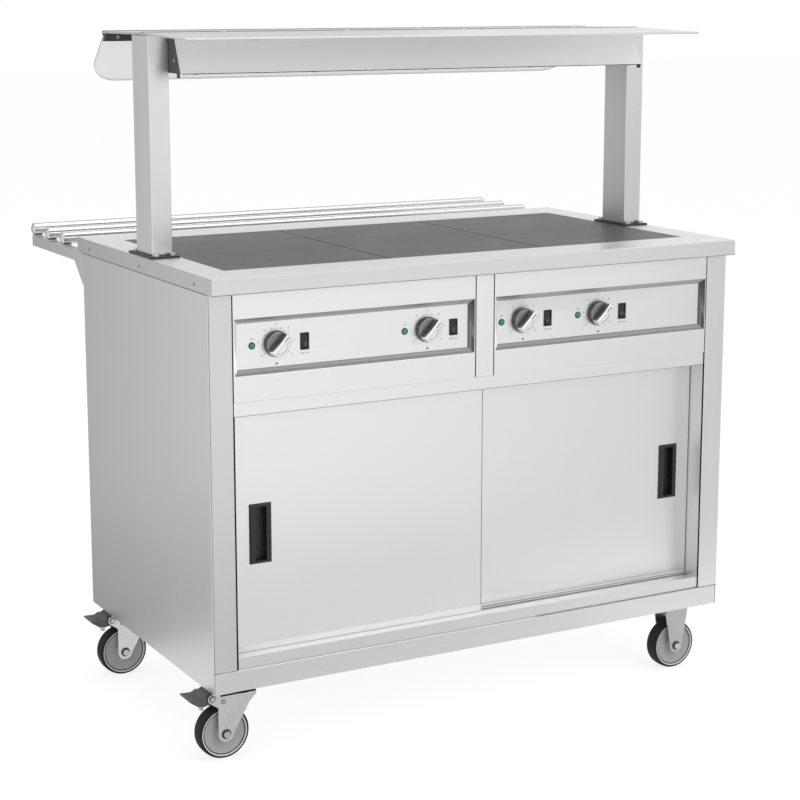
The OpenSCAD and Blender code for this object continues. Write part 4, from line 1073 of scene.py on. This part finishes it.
def make_wheel(name, x, y):
    """A moulded wheel centre with a raised rim, a dished web and a hub, and a rounded rubber tyre."""
    centre = at(x, y, WHEEL_R)
    bm = bmesh.new()
    half = [(4.05, -18.4), (7.5, -18.4), (9.5, -17.9), (12.6, -17.2), (12.9, -16.0), (12.9, -11.5), (14.5, -10.2),
            (20.0, -9.9), (27.0, -10.2), (33.0, -10.8), (38.4, -11.6), (39.6, -12.6), (40.2, -12.8),
            (40.5, -12.0), (40.6, -8.5), (41.9, -8.5)]
    ring_form(bm, centre, (0, 1, 0), half + [(r, -h) for r, h in reversed(half)], steps=72)

    def paint(mid, normal, was):
        """Painted shade in the groove where the centre's rim meets the tyre."""
        return int(math.hypot(mid.x - x, mid.z - WHEEL_R) > 40.25)

    body = f"wheel_{name}"
    core = close_mesh(bm, f"wheel_core_{name}", smooth=24.0, paint=paint)
    keep_piece(f"wheel_core_{name}", core, body, ["wheel", "seal"], [f"wheel_{name}"])
    bm = bmesh.new()
    side = [(42.0, -8.4), (42.0, -13.2), (42.3, -14.4), (43.4, -15.0), (44.6, -14.8), (45.2, -15.4), (46.6, -15.2),
            (48.2, -14.0), (49.4, -11.2), (49.9, -7.0), (50.0, -2.0)]
    ring_form(bm, centre, (0, 1, 0), side + [(r, -h) for r, h in reversed(side)], steps=96)

    def paint_bead(mid, normal, was):
        """The light bead on each side of the tyre."""
        reach = math.hypot(mid.x - x, mid.z - WHEEL_R)
        return int(42.05 < reach < 44.7 and abs(mid.y - y) > 13.0)

    tread = close_mesh(bm, f"tyre_rubber_{name}", smooth=40.0, paint=paint_bead)
    keep_piece(f"tyre_rubber_{name}", tread, body, ["tyre", "bead"], [f"tyre_{name}"])


def make_castors():
    """Pressed forks and plates with soft folds, bolts, pedals with grip ribs, and the swivel races, with painted
    shadow on the plates and fork crowns round each race and dark rings painted above and below its balls.
    """
    for node, body in (("castor_plates", "cabinet"), ("fixed_forks", "cabinet"),
                       ("swivel_fork_front", "castor_front"), ("swivel_fork_rear", "castor_rear")):
        # Painted shadow: faces of the plates and fork crowns in the gap under the base frame are dark.
        folded(node, 0.6, ["zinc_dull" if node == "fixed_forks" else "zinc", "seal"], body,
               paint=lambda mid, normal, was: int(127.6 < mid.z < 138.2 and normal.z > -0.5
                                                  and (mid.x < 140.0 or mid.z < 137.8)))
    for node, body in (("castor_bolts", "cabinet"), ("axles_right", "cabinet"),
                       ("axle_front_left", "castor_front"), ("axle_rear_left", "castor_rear")):
        folded(node, 0.6, ["bolt"], body)
    ribs = tread_rig()
    balls = ball_race_rig()
    for place, y in (("front", CASTOR_Y[0]), ("rear", CASTOR_Y[1])):
        folded("brake_pedal_" + place, 1.1, ["pedal", "bolt"], "pedal_" + place,
               where=lambda mid, length: length > 4,
               paint=lambda mid, normal, was: int(mid.z < PIVOT_Z - 12.2))
        grown(ribs, f"pedal_ribs_{place}", [(PIVOT_X - 42.0, y, PIVOT_Z + 4.1)], None, {
            "Count": 5, "Pitch": 0.0038, "Width": 0.042, "Rib": 0.0013}, "pedal_" + place, "pedal")
        grown(balls, f"race_balls_{place}", [(SWIVEL_X, y, RACE_Z + 3.2)], None, {
            "Count": 26, "Ring": 0.0272, "Ball": 0.0021}, "cabinet", "bolt")
        # Dark rings above and below the balls: painted shadow in the race.
        bm = bmesh.new()
        ring_form(bm, at(SWIVEL_X, y, RACE_Z), (0, 0, 1), [
            (27.0, 0.2), (28.5, 0.2), (28.8, 0.8), (28.8, 1.6), (28.2, 2.0), (27.0, 2.0)])
        ring_form(bm, at(SWIVEL_X, y, RACE_Z), (0, 0, 1), [
            (27.0, 4.6), (28.2, 4.6), (28.8, 5.0), (28.8, 6.2), (28.2, 6.6), (27.0, 6.6)])
        keep_piece(f"race_seal_{place}", close_mesh(bm, f"race_seal_{place}"), "cabinet",
                   ["seal"])


def make_fork_trim():
    """Dark washers under the axle nuts and pivot heads, the rivets of the brake housings, and a painted shadow
    line on each swivel fork's cheeks.
    """
    rivets = dome_screw_rig("bolt")
    rivet_x, rivet_z = TRAIL_X - 4.5, WHEEL_R + 63.0
    for body, x, y in (("castor_front", TRAIL_X, CASTOR_Y[0]), ("castor_rear", TRAIL_X, CASTOR_Y[1]),
                       ("cabinet", FIXED_X, CASTOR_Y[0]), ("cabinet", FIXED_X, CASTOR_Y[1])):
        swivel = body != "cabinet"
        bm = bmesh.new()
        spots = [(x, WHEEL_R, 4.4, 9.6)]
        if swivel:
            spots += [(PIVOT_X, PIVOT_Z, 3.2, 6.6), (rivet_x, rivet_z, 1.0, 4.4)]
        for px, pz, inner, outer in spots:
            for s in (-1, 1):
                ring_form(bm, at(px, y + s * FORK_SIDE, pz), (0, s, 0), [
                    (inner, -0.1), (outer, -0.1), (outer, 0.35), (outer - 0.3, 0.6), (inner, 0.6)], steps=32)
        if swivel:
            # A dark painted shadow line along each cheek of a swivel fork, below its crown.
            for s in (-22.2, 22.2):
                rounded_block(bm, (SWIVEL_X - 45.5, y + s - 0.3, 123.2), (SWIVEL_X + 25.6, y + s + 0.3, 126.2),
                              0.15, material=1)
        name = "fork_washers_" + (body if swivel else "fixed_" + ("front" if y == CASTOR_Y[0] else "rear"))
        keep_piece(name, close_mesh(bm, name), body, ["bolt_dark", "seal"])
        if swivel:
            grown(rivets, "fork_rivets_" + body,
                  [(rivet_x, y + s * (FORK_SIDE + 0.5), rivet_z) for s in (-1, 1)],
                  [(0, s, 0) for s in (-1, 1)], {"Radius": 0.0030, "Height": 0.0016}, body, "bolt")


# ---- Gantry ----

def shelf_top(y):
    """Height of the shelf's upper face at a depth."""
    if y < RIDGE_Y:
        return RIDGE_Z - FRONT_DROP * (RIDGE_Y - y) / FRONT_RUN
    return RIDGE_Z - REAR_DROP * (y - RIDGE_Y) / REAR_RUN


def make_gantry():
    """Posts on bolted bases, the roof-shaped shelf, the lamp hood with its end caps, and the rear clamp."""
    (x0, y0, z0), (x1, y1, z1) = corners("gantry_posts")
    folded("gantry_posts", 1.5, ["post"], where=on_boxes(
        [(x0, y0, z0), (x0 + POST_W, y1, z1)], [(x1 - POST_W, y0, z0), (x1, y1, z1)]))
    folded("post_bases", 0.5, ["coat", "bolt"],
           paint=lambda mid, normal, was: int(mid.z > z0 + 0.1))
    # The shelf's underside takes the brighter hood steel: painted light.
    folded("gantry_shelf", 0.8, ["shelf", "hood", "bolt"], where=lambda mid, length: length > 30,
           paint=lambda mid, normal, was: 2 if mid.z > shelf_top(mid.y) + 0.12 else int(normal.z < -0.9))
    folded("lamp_housing", 0.7, ["hood", "bolt_dark"], where=lambda mid, length: length > 30,
           paint=lambda mid, normal, was: int(mid.z < HOOD_FOOT))
    folded("housing_caps", 0.6, ["foam", "hood"],
           paint=lambda mid, normal, was: int(normal.y < -0.7 and mid.z > HOOD_FOOT - 1.0))
    folded("glass_clamp", 0.8, ["foam"])
    level = Vector((0, math.sqrt(0.5), math.sqrt(0.5)))
    folded("sneeze_glass", 1.2, ["pane", "pane_edge"],
           paint=lambda mid, normal, was: int(abs(normal.dot(level)) < 0.6), fold=60.0)


def make_heat_lamps():
    """Quartz tubes with wound filaments, gripped by ceramic holders with steel straps."""
    bm = bmesh.new()
    centres = []
    y, z = LAMP_Y, LAMP_Z
    for i in range(4):
        x = HOOD_LEFT + (i + 0.5) * LAMP_PITCH
        centres.append((x, y, z))
        ring_form(bm, at(x, y, z), (1, 0, 0), [
            (5.1, -HALF_LAMP), (5.9, -HALF_LAMP), (6.0, 2.0 - HALF_LAMP),
            (6.0, HALF_LAMP - 2.0), (5.9, HALF_LAMP), (5.1, HALF_LAMP)], steps=32)
        for s in (-1, 1):
            near = x + s * (HALF_LAMP + 4.0)
            rounded_block(bm, (near - 3.9, y - 9.9, z - 9.9), (near + 3.9, y + 9.9, z + 12.0), 1.0, material=1)
            rounded_block(bm, (near - 2.6, y - 6.0, z + 11.0), (near + 2.6, y + 6.0, 1302.1), 0.5, material=2)
            turned(bm, at(x + s * (HALF_LAMP - 2.0), y, z), (s, 0, 0), [
                (0, 0), (4.6, 0.2), (4.9, 1.4), (4.9, 2.2), (0, 2.2)], steps=24, material=1)
    keep_piece("heat_lamp_set", close_mesh(bm, "heat_lamp_set"), "cabinet",
               ["quartz", "ceramic", "bolt"], ["heat_lamps"])
    grown(lamp_coil_rig(), "lamp_coils", centres, None, {
        "Turns": 30.0, "Length": 0.168, "Radius": 0.0029, "Wire": 0.0005}, "cabinet", "coil")


# ---- Fasteners ----

def make_fasteners():
    """Screws, rivets and bolts, all grown by the rigs on lists of places."""
    small = dome_screw_rig("bolt_dark")
    bright = dome_screw_rig("bolt")
    hexes = hex_bolt_rig("bolt")
    rows = (78.0, 341.0, 609.0)
    places = [(0.1, y, 882.0) for y in rows] + [(1129.2, y, 882.0) for y in rows]
    ways = [(-1, 0, 0)] * 3 + [(1, 0, 0)] * 3
    grown(small, "worktop_screws", places, ways, {"Radius": 0.0028, "Height": 0.0010},
          "cabinet", "bolt_dark")
    places = [(x, 517.9, 1299.5) for x in (37.0, 301.0, 565.0, 829.0, 1093.0)]
    ways = [(0, -1, 0)] * 5
    for x, way in ((53.9, -1), (1076.1, 1)):
        places += [(x, 279.0, 1262.0), (x, 413.0, 1262.0)]
        ways += [(way, 0, 0)] * 2
    grown(bright, "gantry_screws", places, ways, {"Radius": 0.0034, "Height": 0.0016},
          "cabinet", "bolt")
    back = REAR + 0.1
    across = (75.0, 238.0, 401.0, 565.0, 729.0, 892.0, 1055.0)
    places = [(x, back, z) for z in (196.0, 785.0) for x in across]
    places += [(x, back, z) for x in (across[0], across[-1]) for z in (343.0, 490.0, 637.0)]
    grown(bright, "back_rivets", places, [(0, 1, 0)] * len(places), {"Radius": 0.0032, "Height": 0.0012},
          "cabinet", "bolt")
    places = [(x, REAR + 3.0, z) for x in (23.0, 1107.0) for z in (812.0, 836.0)]
    grown(hexes, "bracket_bolts", places, [(0, 1, 0)] * 4, {"Radius": 0.0050, "Height": 0.0034},
          "cabinet", "bolt")


def make_tray_slide():
    """Dark joints where each tube's domed end cap meets the tube."""
    bm = bmesh.new()
    for y in TUBES:
        for x in (5.0, 1125.0):
            ring_form(bm, at(x, y, TUBE_Z), (1, 0, 0), [
                (TUBE_R - 0.9, -0.45), (TUBE_R - 0.08, -0.45), (TUBE_R, -0.2),
                (TUBE_R, 0.2), (TUBE_R - 0.08, 0.45), (TUBE_R - 0.9, 0.45)], steps=48)
    keep_piece("tube_joints", close_mesh(bm, "tube_joints"), "cabinet", ["seam"])


# ---- Carried-over solids ----

def paint_plain_solids():
    """The solids that keep their own shape get only a finish."""
    for node, key in (("cupboard_floor", "inside"), ("tray_rails", "tube"), ("cable_gland", "black"),
                      ("thermostats", "ceramic"), ("plate_heaters", "heater"), ("cupboard_heater", "heater")):
        materials = NODE[node].data.materials
        materials.clear()
        materials.append(FINISH[key])


paint_plain_solids()
for i in range(4):
    make_knob(i)
    make_rocker(i)
make_pilot_lamps()
make_switch_frames()
make_dials()
make_cabinet_sheets()
make_doors()
make_seals()
for side, x in (("left", TRAIL_X), ("right", FIXED_X)):
    for end, y in zip(("front", "rear"), CASTOR_Y):
        make_wheel(end + "_" + side, x, y)
make_castors()
make_fork_trim()
make_gantry()
make_heat_lamps()
make_fasteners()
make_tray_slide()


# ---- Studio ----

def seen_plainly(bench):
    """1 for camera, glossy and transmission rays, which see the background as plain white."""
    path = bench.add("ShaderNodeLightPath")
    seen = path.out("Is Camera Ray")
    seen = seen.math("MAXIMUM", seen, path.out("Is Glossy Ray"))
    return seen.math("MAXIMUM", seen, path.out("Is Transmission Ray"))


def make_room():
    """Pale floor that keeps the trolley's shadow, under an even pale surround."""
    world = bpy.data.worlds.new("studio")
    bpy.context.scene.world = world
    world.use_nodes = True
    world.node_tree.nodes.clear()
    bench = Bench(world.node_tree)
    tone = bench.blend(seen_plainly(bench), (0.60, 0.60, 0.60), (1.0, 1.0, 1.0))
    bench.add("ShaderNodeOutputWorld", {}, {0: bench.add("ShaderNodeBackground", {}, {0: tone, 1: 1.0})})

    mesh = bpy.data.meshes.new("floor")
    mesh.from_pydata([(-30, -30, 0), (30, -30, 0), (30, 30, 0), (-30, 30, 0)], [], [(0, 1, 2, 3)])
    floor = placed("floor", mesh)
    paint = blank_material("floor_pale")
    bench = Bench(paint.node_tree)
    seen = seen_plainly(bench)
    grain = bench.add("ShaderNodeTexNoise", {}, {"Scale": 3.0, "Detail": 3.0})
    pale = bench.blend(grain, (0.59, 0.59, 0.59), (0.61, 0.61, 0.61))
    matt = bench.add("ShaderNodeBsdfDiffuse", {}, {"Color": bench.blend(seen, pale, (0.32, 0.32, 0.32))})
    glow = bench.add("ShaderNodeEmission", {}, {"Color": (1, 1, 1, 1), "Strength": seen * 0.80})
    both = bench.add("ShaderNodeAddShader", {}, {0: matt, 1: glow})
    bench.add("ShaderNodeOutputMaterial", {}, {"Surface": both})
    mesh.materials.append(paint)


def upright(start, end, low, high):
    """The four corners of a standing card, in metres."""
    return [(*start, low), (*end, low), (*end, high), (*start, high)]


def lying(start, end, height):
    """The four corners of a card that lies flat, in metres."""
    return [(start[0], start[1], height), (end[0], start[1], height),
            (end[0], end[1], height), (start[0], end[1], height)]


def grey_card(name, outline, tone, end_tone=None):
    """A studio card that shades what polished sheet reflects; nothing else sees it. Its tone runs from
    tone at its first side to end_tone at its second."""
    mesh = bpy.data.meshes.new(name)
    mesh.from_pydata(outline, [], [(0, 1, 2, 3)])
    across = mesh.uv_layers.new(name="across")
    for i, u in enumerate((0.0, 1.0, 1.0, 0.0)):
        across.data[i].uv = (u, 0.0)
    card = placed(name, mesh)
    paint = blank_material(name)
    bench = Bench(paint.node_tree)
    spread = bench.add("ShaderNodeUVMap", {"uv_map": "across"})
    along = bench.add("ShaderNodeSeparateXYZ", {}, {0: spread}, out="X")
    end = tone if end_tone is None else end_tone
    grey = bench.blend(along, (tone,) * 3, (end,) * 3)
    glow = bench.add("ShaderNodeEmission", {}, {"Color": grey, "Strength": 1.0})
    bench.add("ShaderNodeOutputMaterial", {}, {"Surface": glow})
    mesh.materials.append(paint)
    for way in ("camera", "diffuse", "transmission", "shadow", "volume_scatter"):
        setattr(card, "visible_" + way, False)


def soft_lamp(name, place, aim, size, power):
    """A rectangular soft box at a place, facing its aim."""
    data = bpy.data.lights.new(name, "AREA")
    data.shape = "RECTANGLE"
    data.size, data.size_y = size
    data.energy = power
    lamp = placed(name, data)
    lamp.location = place
    lamp.rotation_euler = (Vector(aim) - Vector(place)).to_track_quat("-Z", "Y").to_euler()


def make_camera():
    """The camera that was fitted to the photograph: in front of the left corner, looking down a little."""
    look_down, look_round = 0.183793, -0.503037
    data = bpy.data.cameras.new("camera")
    data.lens = 87.348
    data.sensor_width = 36.0
    data.sensor_fit = "HORIZONTAL"
    data.shift_x = 0.000625
    data.shift_y = -0.06
    camera = placed("camera", data)
    camera.location = (-1.853496, -3.527355, 1.386085)
    camera.rotation_euler = (math.pi / 2 - look_down, 0, look_round)
    bpy.context.scene.camera = camera


make_room()
grey_card("card_back", upright((-0.30, 1.25), (-1.35, 1.25), 0.0, 1.8), 0.22, 0.74)
grey_card("card_back_low", lying((-0.50, 0.20), (-1.45, 1.25), 0.004), 0.36, 0.66)
grey_card("card_right", upright((2.0, -2.3), (3.9, -1.9), 0.0, 1.2), 0.55)
grey_card("card_front_low", lying((-0.5, -1.6), (1.8, -1.1), 0.004), 0.58)
grey_card("card_front_near", lying((-0.5, -1.1), (0.5, -0.45), 0.004), 0.76, 0.90)
grey_card("card_front_right", lying((0.9, -3.8), (2.6, -1.7), 0.003), 0.95, 0.60)
grey_card("card_over", upright((-1.6, 2.0), (1.3, 2.0), 2.1, 3.1), 0.25)
grey_card("card_high", upright((-2.6, -2.6), (2.6, -2.6), 2.0, 3.5), 0.25)
soft_lamp("key", (1.6, -3.6, 2.9), (0.0, 0.0, 0.7), (2.4, 2.4), 40.0)
soft_lamp("top", (0.2, -0.2, 3.8), (0.0, 0.0, 0.9), (4.4, 3.4), 38.0)
soft_lamp("left_fill", (-3.6, -1.2, 1.6), (0.0, 0.0, 0.6), (1.8, 1.8), 9.0)
make_camera()
bpy.context.scene.view_settings.view_transform = "Standard"
